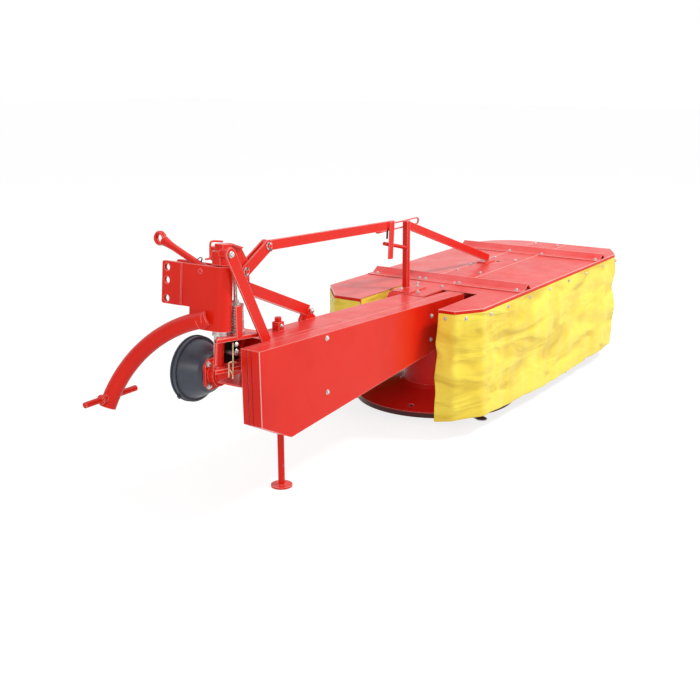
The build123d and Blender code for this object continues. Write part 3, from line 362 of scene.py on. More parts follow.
def tarpaulin():
    """Coated yellow cloth with its woven core just showing, crumples, soft stains, and painted shade in the
    troughs of its swags.
    """
    material, nodes, links, shader = new_material("yellow_cloth", YELLOW, 0.50)
    cloud = add_noise(nodes, links, 3.4, 5.0)
    tone = add_ramp(nodes, links, cloud, [(0.30, YELLOW_SHADE), (0.56, YELLOW), (0.85, YELLOW)])
    shader.inputs["Sheen Weight"].default_value = 0.06
    shader.inputs["Specular IOR Level"].default_value = 0.35
    place = nodes.new("ShaderNodeTexCoord")
    threads = []
    for axis in ("X", "Y", "Z"):
        wave = nodes.new("ShaderNodeTexWave")
        wave.bands_direction = axis
        wave.inputs["Scale"].default_value = 95.0
        wave.inputs["Distortion"].default_value = 0.6
        links.new(place.outputs["Object"], wave.inputs["Vector"])
        threads.append((wave.outputs["Fac"], 0.08, 0.0003))
    fold = nodes.new("ShaderNodeTexNoise")
    fold.noise_type = "RIDGED_MULTIFRACTAL"
    fold.inputs["Scale"].default_value = 7.5
    fold.inputs["Detail"].default_value = 5.0
    fold.inputs["Distortion"].default_value = 0.5
    links.new(place.outputs["Object"], fold.inputs["Vector"])
    stretch = nodes.new("ShaderNodeMapping")
    stretch.inputs["Scale"].default_value = (0.42, 0.42, 1.5)
    stretch.inputs["Rotation"].default_value = (0.0, 0.22, 0.0)
    links.new(place.outputs["Object"], stretch.inputs["Vector"])
    swag = nodes.new("ShaderNodeTexNoise")
    swag.inputs["Scale"].default_value = 6.5
    swag.inputs["Detail"].default_value = 3.0
    swag.inputs["Distortion"].default_value = 0.9
    links.new(stretch.outputs["Vector"], swag.inputs["Vector"])
    # Painted shade: darker where the swag noise is low, in the troughs of the folds
    fold_shade = add_ramp(nodes, links, swag.outputs["Fac"], [(0.34, grey(0.75)), (0.50, grey(0.0))])
    links.new(add_mix(nodes, links, fold_shade, tone, YELLOW_FOLD_SHADE), shader.inputs["Base Color"])
    crease = add_noise(nodes, links, 30.0, 4.0, 0.6)
    add_bump(nodes, links, shader, [
        (swag.outputs["Fac"], 0.75, 0.030),
        (fold.outputs["Fac"], 0.60, 0.012),
        (crease, 0.25, 0.003),
    ] + threads)
    return material


def add_background_rays(nodes, links):
    """One where the background is seen, directly, in a reflection or through something."""
    path = nodes.new("ShaderNodeLightPath")
    seen = path.outputs["Is Camera Ray"]
    for kind in ("Is Glossy Ray", "Is Transmission Ray"):
        most = nodes.new("ShaderNodeMath")
        most.operation = "MAXIMUM"
        links.new(seen, most.inputs[0])
        links.new(path.outputs[kind], most.inputs[1])
        seen = most.outputs[0]
    return seen


def white_stage():
    """Plain pale floor with the faintest mottle, lifted to white where it is seen."""
    material, nodes, links, shader = new_material("stage_floor", grey(0.94), 0.95)
    cloud = add_noise(nodes, links, 1.5, 3.0)
    tone = add_ramp(nodes, links, cloud, [(0.3, grey(0.93)), (0.7, grey(0.96))])
    links.new(tone, shader.inputs["Base Color"])
    shader.inputs["Specular IOR Level"].default_value = 0.0
    glow = nodes.new("ShaderNodeEmission")
    glow.inputs["Strength"].default_value = 1.16
    pale = nodes.new("ShaderNodeMixShader")
    pale.inputs["Fac"].default_value = 0.70
    links.new(shader.outputs[0], pale.inputs[1])
    links.new(glow.outputs[0], pale.inputs[2])
    dull = nodes.new("ShaderNodeBsdfDiffuse")
    dull.inputs["Color"].default_value = (*grey(0.72), 1.0)
    switch = nodes.new("ShaderNodeMixShader")
    links.new(add_background_rays(nodes, links), switch.inputs["Fac"])
    links.new(dull.outputs[0], switch.inputs[1])
    links.new(pale.outputs[0], switch.inputs[2])
    links.new(switch.outputs[0], nodes["Material Output"].inputs["Surface"])
    return material


MATERIALS = {
    "red_paint": red_paint(),
    # Pale paint for thin tubes that stand for a painted highlight along edges
    "edge_highlight_paint": red_paint("edge_highlight_paint", RED_EDGE_HIGHLIGHT, (0.86, 0.30, 0.27), 0.30),
    # Red paint with a strong painted sheen on upward faces
    "red_sheened": red_paint("red_sheened", RED, RED_DEEP, 0.85),
    "drum_paint": drum_paint(),
    "zinc": metal("zinc", ZINC, 0.26),
    "bright_wire": metal("bright_wire", BRIGHT, 0.34),
    # Dark oily steel, also the painted shade of the fork's hollow and the strip's hole
    "oily_dark_and_shade": metal("oily_dark_and_shade", OILY_DARK_AND_SHADE, 0.42, 40.0),
    "brassy": metal("brassy", BRASSY, 0.34),
    "steel": metal("steel", STEEL, 0.36, 30.0),
    "cone_plastic": cone_plastic(),
    "yellow_cloth": tarpaulin(),
}


# Mesh helpers

class Build:
    """Collects shapes into one mesh that rides on one body."""

    def __init__(self, name, body, material, slot):
        self.name, self.body, self.material, self.slot = name, body, material, slot
        self.mesh = bmesh.new()

    def frame_to(self, place, axis):
        turn = Vector((0, 0, 1)).rotation_difference(Vector(axis).normalized())
        return Matrix.Translation(place) @ turn.to_matrix().to_4x4()

    def lathe(self, place, axis, profile, sides=20, spin=0.0):
        """Turns (radius, height) points about the axis."""
        matrix = self.frame_to(place, axis)
        rings = []
        for radius, height in profile:
            ring = []
            for k in range(sides):
                angle = 2 * math.pi * k / sides + spin
                point = Vector((radius * math.cos(angle), radius * math.sin(angle), height))
                ring.append(self.mesh.verts.new(matrix @ point))
            rings.append(ring)
        for low, high in zip(rings, rings[1:]):
            for k in range(sides):
                n = (k + 1) % sides
                self.mesh.faces.new((low[k], low[n], high[n], high[k]))
        self.mesh.faces.new(tuple(reversed(rings[0])))
        self.mesh.faces.new(tuple(rings[-1]))

    def bolt(self, place, axis, across=0.017, washer=0.011, lift=0.0, spin=0.3, stud=0.0):
        """Washer, hexagon head with a domed top, and a short thread end where a stud is asked for."""
        r = across / math.sqrt(3)
        tall = across * 0.42
        self.lathe(place, axis, [(washer, lift), (washer, lift + 0.0012), (washer * 0.93, lift + 0.0018)], 24)
        head = lift + 0.0018
        self.lathe(place, axis, [(r, head), (r, head + tall * 0.62)], 6, spin)
        crown = r * math.cos(math.pi / 6)
        dome = [
            (crown, head + tall * 0.5), (crown * 0.97, head + tall * 0.80),
            (crown * 0.80, head + tall * 1.02), (crown * 0.45, head + tall * 1.14),
        ]
        self.lathe(place, axis, dome, 20)
        if stud > 0:
            top = head + tall
            end = [(r * 0.46, top), (r * 0.46, top + stud), (r * 0.36, top + stud + 0.001)]
            self.lathe(place, axis, end, 14)

    def ring(self, place, axis, profile, sides=40):
        """Turns a closed outline of (radius, height) points about the axis, as for an eye or a washer."""
        matrix = self.frame_to(place, axis)
        rings = []
        for radius, height in profile:
            ring = []
            for k in range(sides):
                angle = 2 * math.pi * k / sides
                ring.append(self.mesh.verts.new(matrix @ Vector((
                    radius * math.cos(angle), radius * math.sin(angle), height))))
            rings.append(ring)
        for low, high in zip(rings, rings[1:] + rings[:1]):
            for k in range(sides):
                n = (k + 1) % sides
                self.mesh.faces.new((low[k], low[n], high[n], high[k]))

    def tube(self, points, radius, sides=10, closed=False):
        """A round bar along points that lie close together. The radius may be a list, one for each."""
        count = len(points)
        rings, up = [], None
        for i, point in enumerate(points):
            ahead = points[(i + 1) % count] if closed or i < count - 1 else point
            behind = points[i - 1] if closed or i > 0 else point
            way = (ahead - behind).normalized()
            if up is None:
                up = way.orthogonal().normalized()
            up = (up - way * up.dot(way)).normalized()
            side = way.cross(up)
            size = radius[i] if isinstance(radius, list) else radius
            ring = []
            for k in range(sides):
                angle = 2 * math.pi * k / sides
                turned = up * math.cos(angle) + side * math.sin(angle)
                ring.append(self.mesh.verts.new(point + turned * size))
            rings.append(ring)
        pairs = list(zip(rings, rings[1:]))
        if closed:
            pairs.append((rings[-1], rings[0]))
        for low, high in pairs:
            for k in range(sides):
                n = (k + 1) % sides
                self.mesh.faces.new((low[k], low[n], high[n], high[k]))
        if not closed:
            self.mesh.faces.new(tuple(reversed(rings[0])))
            self.mesh.faces.new(tuple(rings[-1]))

    def wire(self, corners, radius, sides=10, closed=False):
        self.tube(smooth_route(corners, closed), radius, sides, closed)

    def slab(self, corners, thick, way, bevel=0.0015):
        """A flat plate from an outline, thickened along a direction, with softened edges."""
        way = Vector(way).normalized() * thick
        low = [self.mesh.verts.new(Vector(c)) for c in corners]
        high = [self.mesh.verts.new(Vector(c) + way) for c in corners]
        faces = [self.mesh.faces.new(tuple(reversed(low))), self.mesh.faces.new(tuple(high))]
        for k in range(len(corners)):
            n = (k + 1) % len(corners)
            faces.append(self.mesh.faces.new((low[k], low[n], high[n], high[k])))
        edges = {edge for face in faces for edge in face.edges}
        if bevel:
            bmesh.ops.bevel(self.mesh, geom=list(edges), offset=bevel, segments=2, affect="EDGES")

    def done(self, smooth_angle=40.0):
        bmesh.ops.recalc_face_normals(self.mesh, faces=self.mesh.faces)
        data = bpy.data.meshes.new(self.name)
        self.mesh.to_mesh(data)
        self.mesh.free()
        piece = bpy.data.objects.new(self.name, data)
        bpy.context.scene.collection.objects.link(piece)
        data.materials.append(MATERIALS[self.material])
        for polygon in data.polygons:
            polygon.use_smooth = True
        with bpy.context.temp_override(active_object=piece, object=piece, selected_editable_objects=[piece]):
            bpy.ops.object.shade_smooth_by_angle(angle=math.radians(smooth_angle))
        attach(piece, self.body)
        return piece


def smooth_route(corners, closed=False, steps=7):
    """Rounds a route of corners with a Catmull-Rom curve."""
    points = [Vector(c) for c in corners]
    count = len(points)
    spans = count if closed else count - 1
    route = []
    for i in range(spans):
        p1, p2 = points[i], points[(i + 1) % count]
        p0 = points[i - 1] if closed or i > 0 else p1 + (p1 - p2) * 0.3
        p3 = points[(i + 2) % count] if closed or i + 2 < count else p2 + (p2 - p1) * 0.3
        for k in range(steps):
            t = k / steps
            route.append(0.5 * (2 * p1 + (p2 - p0) * t + (2 * p0 - 5 * p1 + 4 * p2 - p3) * t * t
                                + (3 * p1 - p0 - 3 * p2 + p3) * t ** 3))
    if not closed:
        route.append(points[-1])
    return route


# Cloth skirts

def deck_path():
    """The deck's edge from the slot's rear side, round the far end, to the slot's front side."""
    low_rear, high_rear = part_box("deck_rear")
    high_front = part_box("deck_front")[1]
    near, far = low_rear[0], high_rear[0]
    rear, front = low_rear[1], high_front[1]
    radius = 0.280
    points = [
        Vector((near, ORIGIN.y - 0.262)), Vector((near, rear + 0.075)), Vector((near + 0.117, rear)),
        Vector((far - 0.146, rear)), Vector((far, rear + 0.080)), Vector((far, front - radius)),
    ]
    for k in range(1, 12):
        angle = math.radians(90 * k / 12)
        across, along = radius * math.cos(angle), radius * math.sin(angle)
        points.append(Vector((far - radius + across, front - radius + along)))
    points += [
        Vector((far - radius, front)), Vector((near + 0.164, front)), Vector((near, front - 0.140)),
        Vector((near, ORIGIN.y + 0.131)),
    ]
    return points


def walk(points, step):
    """Evenly spaced places along a route, each with its distance and the route's direction there."""
    lengths = [0.0]
    for a, b in zip(points, points[1:]):
        lengths.append(lengths[-1] + (b - a).length)
    total = lengths[-1]
    count = int(total / step)
    places = []
    span = 0
    for k in range(count + 1):
        s = total * k / count
        while span < len(points) - 2 and lengths[span + 1] < s:
            span += 1
        a, b = points[span], points[span + 1]
        t = (s - lengths[span]) / (lengths[span + 1] - lengths[span])
        places.append((s, a.lerp(b, min(max(t, 0), 1)), (b - a).normalized()))
    return places


def outward(places):
    """Outward directions, eased over the corners."""
    reach = 3
    ways = []
    for i in range(len(places)):
        tangent = Vector((0.0, 0.0))
        for j in range(max(0, i - reach), min(len(places), i + reach + 1)):
            tangent += places[j][2]
        tangent.normalize()
        ways.append(Vector((tangent.y, -tangent.x)))
    return ways


def hem_height(table, distance):
    """Height of the hem, read between the rows of its table."""
    for (s0, z0), (s1, z1) in zip(table, table[1:]):
        if distance <= s1:
            return z0 + (z1 - z0) * (distance - s0) / (s1 - s0)
    return table[-1][1]


def hang(name, node, rows_of, held_from):
    """A grid of cloth held along its top, ready to settle. rows_of gives each column's places."""
    mesh = bpy.data.meshes.new(name)
    points, faces = [], []
    tall = len(rows_of[0])
    for column in rows_of:
        points.extend(column)
    for i in range(len(rows_of) - 1):
        for r in range(tall - 1):
            k = i * tall + r
            faces.append((k, k + tall, k + tall + 1, k + 1))
    mesh.from_pydata([tuple(point) for point in points], [], faces)
    piece = bpy.data.objects.new(name, mesh)
    bpy.context.scene.collection.objects.link(piece)
    mesh.materials.append(MATERIALS["yellow_cloth"])
    for polygon in mesh.polygons:
        polygon.use_smooth = True
    held = piece.vertex_groups.new(name="held")
    for index, point in enumerate(points):
        if point.z >= held_from:
            held.add([index], 1.0, "REPLACE")
    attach(piece, "cutter_unit")
    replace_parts(piece, node)
    return piece


def settle(pieces, limits):
    """Lets the cloth hang for a while, limits and shapes where it ends up, and applies that."""
    for piece in pieces:
        cloth = piece.modifiers.new("cloth", "CLOTH")
        values = cloth.settings
        values.quality = 7
        values.mass = 0.25
        values.air_damping = 3.0
        values.tension_stiffness = values.compression_stiffness = 30.0
        values.shear_stiffness = 14.0
        values.bending_stiffness = 2.2
        values.shrink_min = -CLOTH_EXTRA
        values.vertex_group_mass = "held"
        cloth.collision_settings.use_collision = False
    for number in range(1, CLOTH_FRAMES + 1):
        bpy.context.scene.frame_set(number)
    graph = bpy.context.evaluated_depsgraph_get()
    for piece, limit in zip(pieces, limits):
        shape = piece.evaluated_get(graph).to_mesh()
        places = [vertex.co.copy() for vertex in shape.vertices]
        piece.evaluated_get(graph).to_mesh_clear()
        piece.modifiers.clear()
        for vertex, place in zip(piece.data.vertices, places):
            vertex.co = limit(vertex.index, vertex.co.copy(), place)
    bpy.context.scene.frame_set(1)
    for piece in pieces:
        solid = piece.modifiers.new("thickness", "SOLIDIFY")
        solid.thickness = CLOTH_THICK
        solid.offset = 0.0
        smooth = piece.modifiers.new("smooth", "SUBSURF")
        smooth.levels = smooth.render_levels = 1


def billow(s, z, down):
    """How far the cloth stands out: long swags above, upright waves below, and sharp creases all over."""
    swag = noise.noise(Vector((s * 1.9, z * 9.0 + s * 1.1, 1.1)))
    drape = noise.noise(Vector((s * 4.6, z * 1.5, 8.3)))
    bend = noise.noise_vector(Vector((s * 3.0, z * 4.0, 3.3))) * 0.9
    near = math.exp(-s / 0.55)
    crease = 1.0 - 2.6 * abs(noise.noise(Vector((s * 8.0 + z * 5.0, z * 9.0 - s * 3.5, 7.7)) + bend))
    small = 1.0 - 2.4 * abs(noise.noise(Vector((s * 17.0 - z * 9.0, z * 19.0 + s * 6.0, 2.9)) + bend))
    upper = math.sin(math.pi * min(1.0, 0.12 + down)) if down < 0.88 else 0.0
    creased = 0.0080 * max(0.0, crease) * (0.5 + 0.8 * near) + 0.0040 * max(0.0, small) * (0.4 + 0.8 * near)
    whole = 0.0190 * swag * upper + 0.0160 * drape * down + creased * (1.15 - 0.65 * down)
    return min(RELIEF_MOST, whole)


def edge_skirt(name, node, places, ways, start, end, table, from_end):
    """One sheet of cloth hung outside the lip between two places on the walk, and its limits."""
    deck_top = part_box("deck_rear")[1][2]
    top = deck_top - CLOTH_TOP_BELOW
    rows = int((top - min(z for _, z in table)) / CLOTH_CELL)
    total = places[-1][0]
    columns, flat_area = [], 0.0
    for i in range(start, end + 1):
        s, point, _ = places[i]
        bottom = hem_height(table, total - s if from_end else s)
        flat_area += (top - bottom) * (places[1][0] - places[0][0])
        column = []
        for r in range(rows + 1):
            t = r / rows
            z = top + (bottom - top) * t
            loose = min(1.0, max(0.0, (deck_top - CLOTH_HELD - z) / 0.09))
            end_s = total - s if from_end else s
            flare = CORNER_FLARE * t * math.exp(-end_s / 0.10)
            out = point + ways[i] * (CLOTH_OUT + loose * (0.002 + flare))
            column.append(Vector((out.x, out.y, z)))
        columns.append(column)
    tall = rows + 1
    low = min(column[-1].z for column in columns)
    piece = hang(name, node, columns, deck_top - CLOTH_HELD)

    def limit(index, base, place):
        way = ways[start + index // tall]
        out = (place - base).x * way.x + (place - base).y * way.y
        kept = min(max(out, -CLOTH_IN), CLOTH_FAR)
        s = places[start + index // tall][0]
        loose = min(1.0, max(0.0, (deck_top - CLOTH_HELD - place.z) / 0.07))
        down = (top - place.z) / (top - low)
        # The simulated swell is eased, and the drawn relief is added to it
        kept = kept * SWELL_KEPT + loose * billow(total - s if from_end else s, place.z, down)
        return place + Vector((way.x, way.y, 0.0)) * (kept - out)

    return piece, limit


def slot_flap():
    """The short inner flap along the slot's front edge."""
    low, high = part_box("skirt_slot")
    count, rows = 24, 17
    columns = []
    for i in range(count + 1):
        s = i / count
        column = []
        for r in range(rows + 1):
            t = r / rows
            wave = 0.003 * t * noise.noise(Vector((s * 3, t, 5.5)))
            x = low[0] + (high[0] - low[0]) * s
            column.append(Vector((x, (low[1] + high[1]) / 2 + wave, high[2] + (low[2] - high[2]) * t)))
        columns.append(column)
    piece = hang("skirt_cloth_slot", "skirt_slot", columns, high[2] - 0.02)

    def limit(index, base, place):
        place.y = min(max(place.y, base.y - 0.006), base.y + 0.010)
        return place

    return piece, limit


def build_skirts():
    places = walk(deck_path(), CLOTH_CELL)
    ways = outward(places)
    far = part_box("deck_rear")[1][0]
    middle = min(
        range(len(places)), key=lambda i: abs(places[i][1].x - far) + abs(places[i][1].y - ORIGIN.y))
    made = [
        edge_skirt("skirt_cloth_rear", "skirt_rear", places, ways, 0, middle, HEM_REAR, False),
        edge_skirt(
            "skirt_cloth_front", "skirt_front", places, ways, middle + 1, len(places) - 1, HEM_FRONT, True),
        slot_flap(),
    ]
    settle([piece for piece, _ in made], [limit for _, limit in made])


# Finish of the carried-over solids

def dress_nodes():
    slots = {row["node"]: row["material_slot"] for row in frame["record"]["subparts"]}
    for name, node in frame["nodes"].items():
        material = MATERIALS.get(slots.get(name), MATERIALS["red_paint"])
        if name.startswith("drum_inner") or name.startswith("drum_outer"):
            material = MATERIALS["drum_paint"]
        if name in ("spring_bracket", "swing_post"):
            material = MATERIALS["red_paint"]
        # The deck's front and the ribs get the strong painted sheen
        if name in ("deck_front", "rib_inner", "rib_outer"):
            material = MATERIALS["red_sheened"]
        if name == "relief_spring":
            material = MATERIALS["bright_wire"]
        if node.type == "MESH":
            for index in range(len(node.material_slots)):
                node.material_slots[index].material = material


def build_ribs():
    """Sheets folded to a ridge over the deck, with a wide bolted flange on the hitch side."""
    for name in ("rib_inner", "rib_outer"):
        low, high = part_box(name)
        outline = [(x, z + RIB_SHEET) for x, z in RIB_FOLD] + [(x, z) for x, z in reversed(RIB_FOLD)]
        rib = Build(name + "_fold", "cutter_unit", "red_sheened", "red_paint")
        ends = []
        for y in (low[1], high[1]):
            ends.append([rib.mesh.verts.new((low[0] + x, y, low[2] + z)) for x, z in outline])
        count = len(outline)
        for k in range(count):
            n = (k + 1) % count
            rib.mesh.faces.new((ends[0][k], ends[0][n], ends[1][n], ends[1][k]))
        spans = len(RIB_FOLD) - 1
        for row in ends:
            for k in range(spans):
                rib.mesh.faces.new((row[k], row[k + 1], row[count - 2 - k], row[count - 1 - k]))
        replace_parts(rib.done(20.0), name)


def build_fork():
    """The fork's two plates with a web and cheek between, its washer and cross pin, and a dark block of painted
    shade in the fork's hollow.
    """
    fork = Build("fork_plates", "beam_frame", "red_paint", "red_paint")
    for low, high in ((0.044, 0.058), (-0.062, -0.048)):
        corners = [on_post(x / 1000, y / 1000, low) for x, y in FORK_NOSE]
        fork.slab(corners, high - low, ON_POST.to_3x3() @ Vector((0, 0, 1)), 0.0012)
    up = ON_POST.to_3x3() @ Vector((0, 0, 1))
    web = [(-0.076, -0.050), (-0.067, -0.050), (-0.067, -0.040), (-0.076, -0.040)]
    fork.slab([on_post(x, y, -0.030) for x, y in web], 0.076, up, 0.001)
    cheek = [(0.045, 0.038), (0.190, 0.038), (0.190, 0.052), (0.045, 0.052)]
    fork.slab([on_post(x, y, -0.048) for x, y in cheek], 0.092, up, 0.001)
    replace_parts(fork.done(), "swing_fork")
    washer = Build("fork_washer", "beam_frame", "zinc", "zinc")
    way = ON_POST.to_3x3() @ Vector((0, 0, 1))
    profile = [
        (0.0200, 0.0), (0.0285, 0.0), (0.0285, 0.0080), (0.0274, 0.0092), (0.0274, 0.0155), (0.0200, 0.0155),
    ]
    washer.ring(on_post(0, 0, 0.0585), way, profile)
    washer.tube([on_post(0.045, -0.042, -0.005), on_post(0.045, 0.037, -0.005)], 0.0075, 20)
    washer.done()
    # Painted shade: a dark block fills the fork's hollow, where shade falls
    shade_block = Build("fork_shade_block", "beam_frame", "oily_dark_and_shade", "steel")
    block = [(0.020, 0.002), (0.112, 0.002), (0.112, 0.036), (0.020, 0.036)]
    shade_block.slab([on_post(x, y, -0.040) for x, y in block], 0.080, up, 0.004)
    shade_block.done()


def build_stay():
    """The stay: a forging with a round eye, a flared neck and a hinged foot between the head's plates."""
    pivot = ON_POST.inverted() @ JOIN["stay_turn"]
    eye = Vector((0.0, pivot.y + STAY_SPAN[0], pivot.z + STAY_SPAN[1]))
    way = (eye - pivot).normalized()
    length = (eye - pivot).length - STAY_EYE[1] + 0.006
    route, sizes = [], []
    for k in range(29):
        t = k / 28
        route.append(ON_POST @ (pivot + way * length * t))
        flare = 0.0060 * max(0.0, (t - 0.72) / 0.28) ** 2 + 0.0035 * max(0.0, (0.25 - t) / 0.25)
        sizes.append(0.0122 + flare)
    stay = Build("stay_forging", "stay", "red_paint", "red_paint")
    stay.tube(route, sizes, 20)
    side = ON_POST.to_3x3() @ Vector((1, 0, 0))
    bore, rim, half = STAY_EYE
    eye_ring = [(bore, -half + 0.003), (bore + 0.003, -half), (rim - 0.004, -half), (rim, -half + 0.005),
                (rim, half - 0.005), (rim - 0.004, half), (bore + 0.003, half), (bore, half - 0.003)]
    stay.ring(ON_POST @ eye, side, eye_ring, 44)
    foot = [
        (0.0084, -0.022), (0.0165, -0.022), (0.0175, -0.021),
        (0.0175, 0.021), (0.0165, 0.022), (0.0084, 0.022),
    ]
    stay.ring(ON_POST @ pivot, side, foot, 32)
    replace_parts(stay.done(50.0), "stay_rod")
    pin = Build("stay_lynch_pin", "stay", "oily_dark_and_shade", "steel")
    middle = pivot + way * 0.040
    over = Vector((0.0, -way.z, way.y))
    ends = [middle + over * 0.026 + Vector((-0.001, 0, 0)), middle + over * 0.015, middle - over * 0.010]
    pin.wire([ON_POST @ end for end in ends], 0.0022, 8)
    loop = [middle + over * 0.026, middle + over * 0.024 + way * 0.010, middle + over * 0.013 + way * 0.018]
    pin.wire([ON_POST @ end for end in loop], 0.0017, 8)
    pin.done()


def build_spring_bar():
    """The flat bar beside the spring, narrower than the solid it replaces."""
    low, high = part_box("spring_bracket")
    middle = (low[0] + high[0]) / 2 + 0.012
    bar = Build("spring_bar", "beam_frame", "red_paint", "red_paint")
    corners = [Vector((middle + x, low[1], low[2])) for x in (-0.0165, 0.0165)]
    tall = high[2] - low[2]
    corners += [corner + Vector((0, 0, tall)) for corner in reversed(corners)]
    bar.slab(corners, high[1] - low[1], (0, 1, 0), 0.0012)
    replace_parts(bar.done(), "spring_bracket")


def build_strut():
    """The flat strut from its bolted eye on the cap down to the beam, with its round upper end."""
    upper, lower = at(*STRUT_UPPER), at(*STRUT_LOWER)
    way = (lower - upper).normalized()
    face = Vector((0, -1, 0)) - way * Vector((0, -1, 0)).dot(way)
    side = way.cross(face.normalized())
    corners = []
    for k in range(9):
        angle = math.pi * k / 8
        corners.append(upper + (side * math.cos(angle) - way * math.sin(angle)) * STRUT_HALF)
    corners += [lower - side * STRUT_HALF, lower + side * STRUT_HALF]
    strut = Build("strut_bar", "beam_frame", "red_paint", "red_paint")
    strut.slab(corners, 0.008, face, 0.0010)
    strut.lathe(upper, (0, 1, 0), [(0.016, 0.0), (0.016, 0.034)], 28)
    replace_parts(strut.done(), "mast_strut")


def build_edge_highlights():
    """Thin rounded folds along the deck's rim, its cover strip and the guard, pale as a painted highlight."""
    deck_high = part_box("deck_rear")[1]
    strip_low, strip_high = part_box("beam_cover")
    deck = Build("deck_edge_highlights", "cutter_unit", "edge_highlight_paint", "red_paint")
    rim = [Vector((point.x, point.y, deck_high[2] - 0.0008)) for point in deck_path()]
    deck.tube(rim, 0.0017, 8)
    height = strip_high[2] - 0.0006
    for y in (strip_low[1], strip_high[1]):
        deck.tube([Vector((x, y, height)) for x in (at(0.62, 0, 0).x, strip_high[0])], 0.0017, 8)
    for name in ("rib_inner", "rib_outer"):
        low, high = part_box(name)
        for across, tall in ((0.084, 0.0255), (0.1235, 0.0026), (0.0005, 0.0026)):
            deck.tube([Vector((low[0] + across, y, low[2] + tall)) for y in (low[1], high[1])], 0.0013, 8)
    deck.done()
    low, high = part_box("guard_cover")
    guard = Build("guard_edge_highlights", "beam_frame", "edge_highlight_paint", "red_paint")
    shade = Build("guard_seams", "beam_frame", "oily_dark_and_shade", "red_paint")
    end = [on_beam(x, 0, z) for x, z in GUARD_END]
    for y, build, radius in ((low[1] + 0.0008, guard, 0.0015), (ORIGIN.y + GUARD_SEAM[0], shade, 0.0010),
                             (ORIGIN.y + GUARD_SEAM[1], shade, 0.0006)):
        build.tube([Vector((point.x, y, point.z)) for point in end], radius, 8)
    guard.done()
    shade.done()


def build_cone_trim():
    """The stepped band round the cone's mouth, and its small catch."""
    low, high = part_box("shaft_guard")
    centre = Vector((JOIN["input_spin"].x, high[1], JOIN["input_spin"].z))
    rim = (high[0] - low[0]) / 2
    trim = Build("cone_trim", "beam_frame", "cone_plastic", "cone_plastic")
    for back, out, wide in ((0.007, 0.0030, 0.007), (0.026, 0.0010, 0.005)):
        r = rim + out
        band = [(rim - 0.005, 0.0), (r, 0.0), (r + 0.0008, wide * 0.3), (r, wide), (rim - 0.005, wide)]
        trim.ring(centre + Vector((0, -back - wide / 2 + 0.0035, 0)), (0, 1, 0), band, 72)
    angle = math.radians(221)
    foot = centre + Vector((rim * math.cos(angle), -0.016, rim * math.sin(angle)))
    away = Vector((math.cos(angle), 0, math.sin(angle)))
    along = Vector((-away.z, 0, away.x)) * 0.009
    tip = away * 0.012
    trim.slab([foot - along, foot + along, foot + along + tip, foot - along + tip], 0.006, (0, 1, 0), 0.001)
    trim.done()


def build_arm_roots():
    """Closing plugs where the two lower-link arms leave the head."""
    roots = Build("arm_roots", "head", "red_paint", "red_paint")
    for place, onward in ARM_ROOTS:
        root = at(*place)
        way = (at(*onward) - root).normalized()
        roots.lathe(root - way * 0.016, way, [(0.026, 0.0), (0.0297, 0.004), (0.0297, 0.040)], 36)
    roots.done()


def build_strip_hole():
    """The dark round hole in the cover strip: a dark disc of painted shade where the hole is."""
    hole = Build("strip_hole", "cutter_unit", "oily_dark_and_shade", "steel")
    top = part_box("beam_cover")[1][2]
    hole.lathe(at(1.128, 0.020, top - 0.002), (0, 0, 1), [(0.011, 0.0), (0.011, 0.0023)], 28)
    hole.done()


def build_catch():
    """The catch rod on the lift post, and the dark strip behind the latch."""
    rod = Build("catch_rod", "cutter_unit", "red_paint", "red_paint")
    rod.wire([at(*place) for place in CATCH_ROD], CATCH_ROD_R, 16)
    rod.done()
    strip = Build("latch_strip", "bar", "oily_dark_and_shade", "steel")
    strip.slab([at(*place) for place in LATCH_STRIP], 0.004, (0, 1, 0), 0.0006)
    strip.done()


def build_backing():
    """The flat strip inside the skirt that its bolts pass through, just under the lip."""
    places = walk(deck_path(), BACKING_STEP)
    ways = outward(places)
    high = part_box("deck_rear")[1][2] - LIP_TALL
    strip = Build("skirt_backing", "cutter_unit", "red_paint", "red_paint")
    low = high - BACKING_TALL
    rings = []
    for (_, point, _), way in zip(places, ways):
        ring = []
        for back, z in ((0.0002, high), (0.0002, low), (-0.0028, low), (-0.0028, high)):
            spot = point + way * back
            ring.append(strip.mesh.verts.new((spot.x, spot.y, z)))
        rings.append(ring)
    for a, b in zip(rings, rings[1:]):
        for k in range(4):
            n = (k + 1) % 4
            strip.mesh.faces.new((a[k], a[n], b[n], b[k]))
    strip.mesh.faces.new(rings[0])
    strip.mesh.faces.new(tuple(reversed(rings[-1])))
    strip.done()


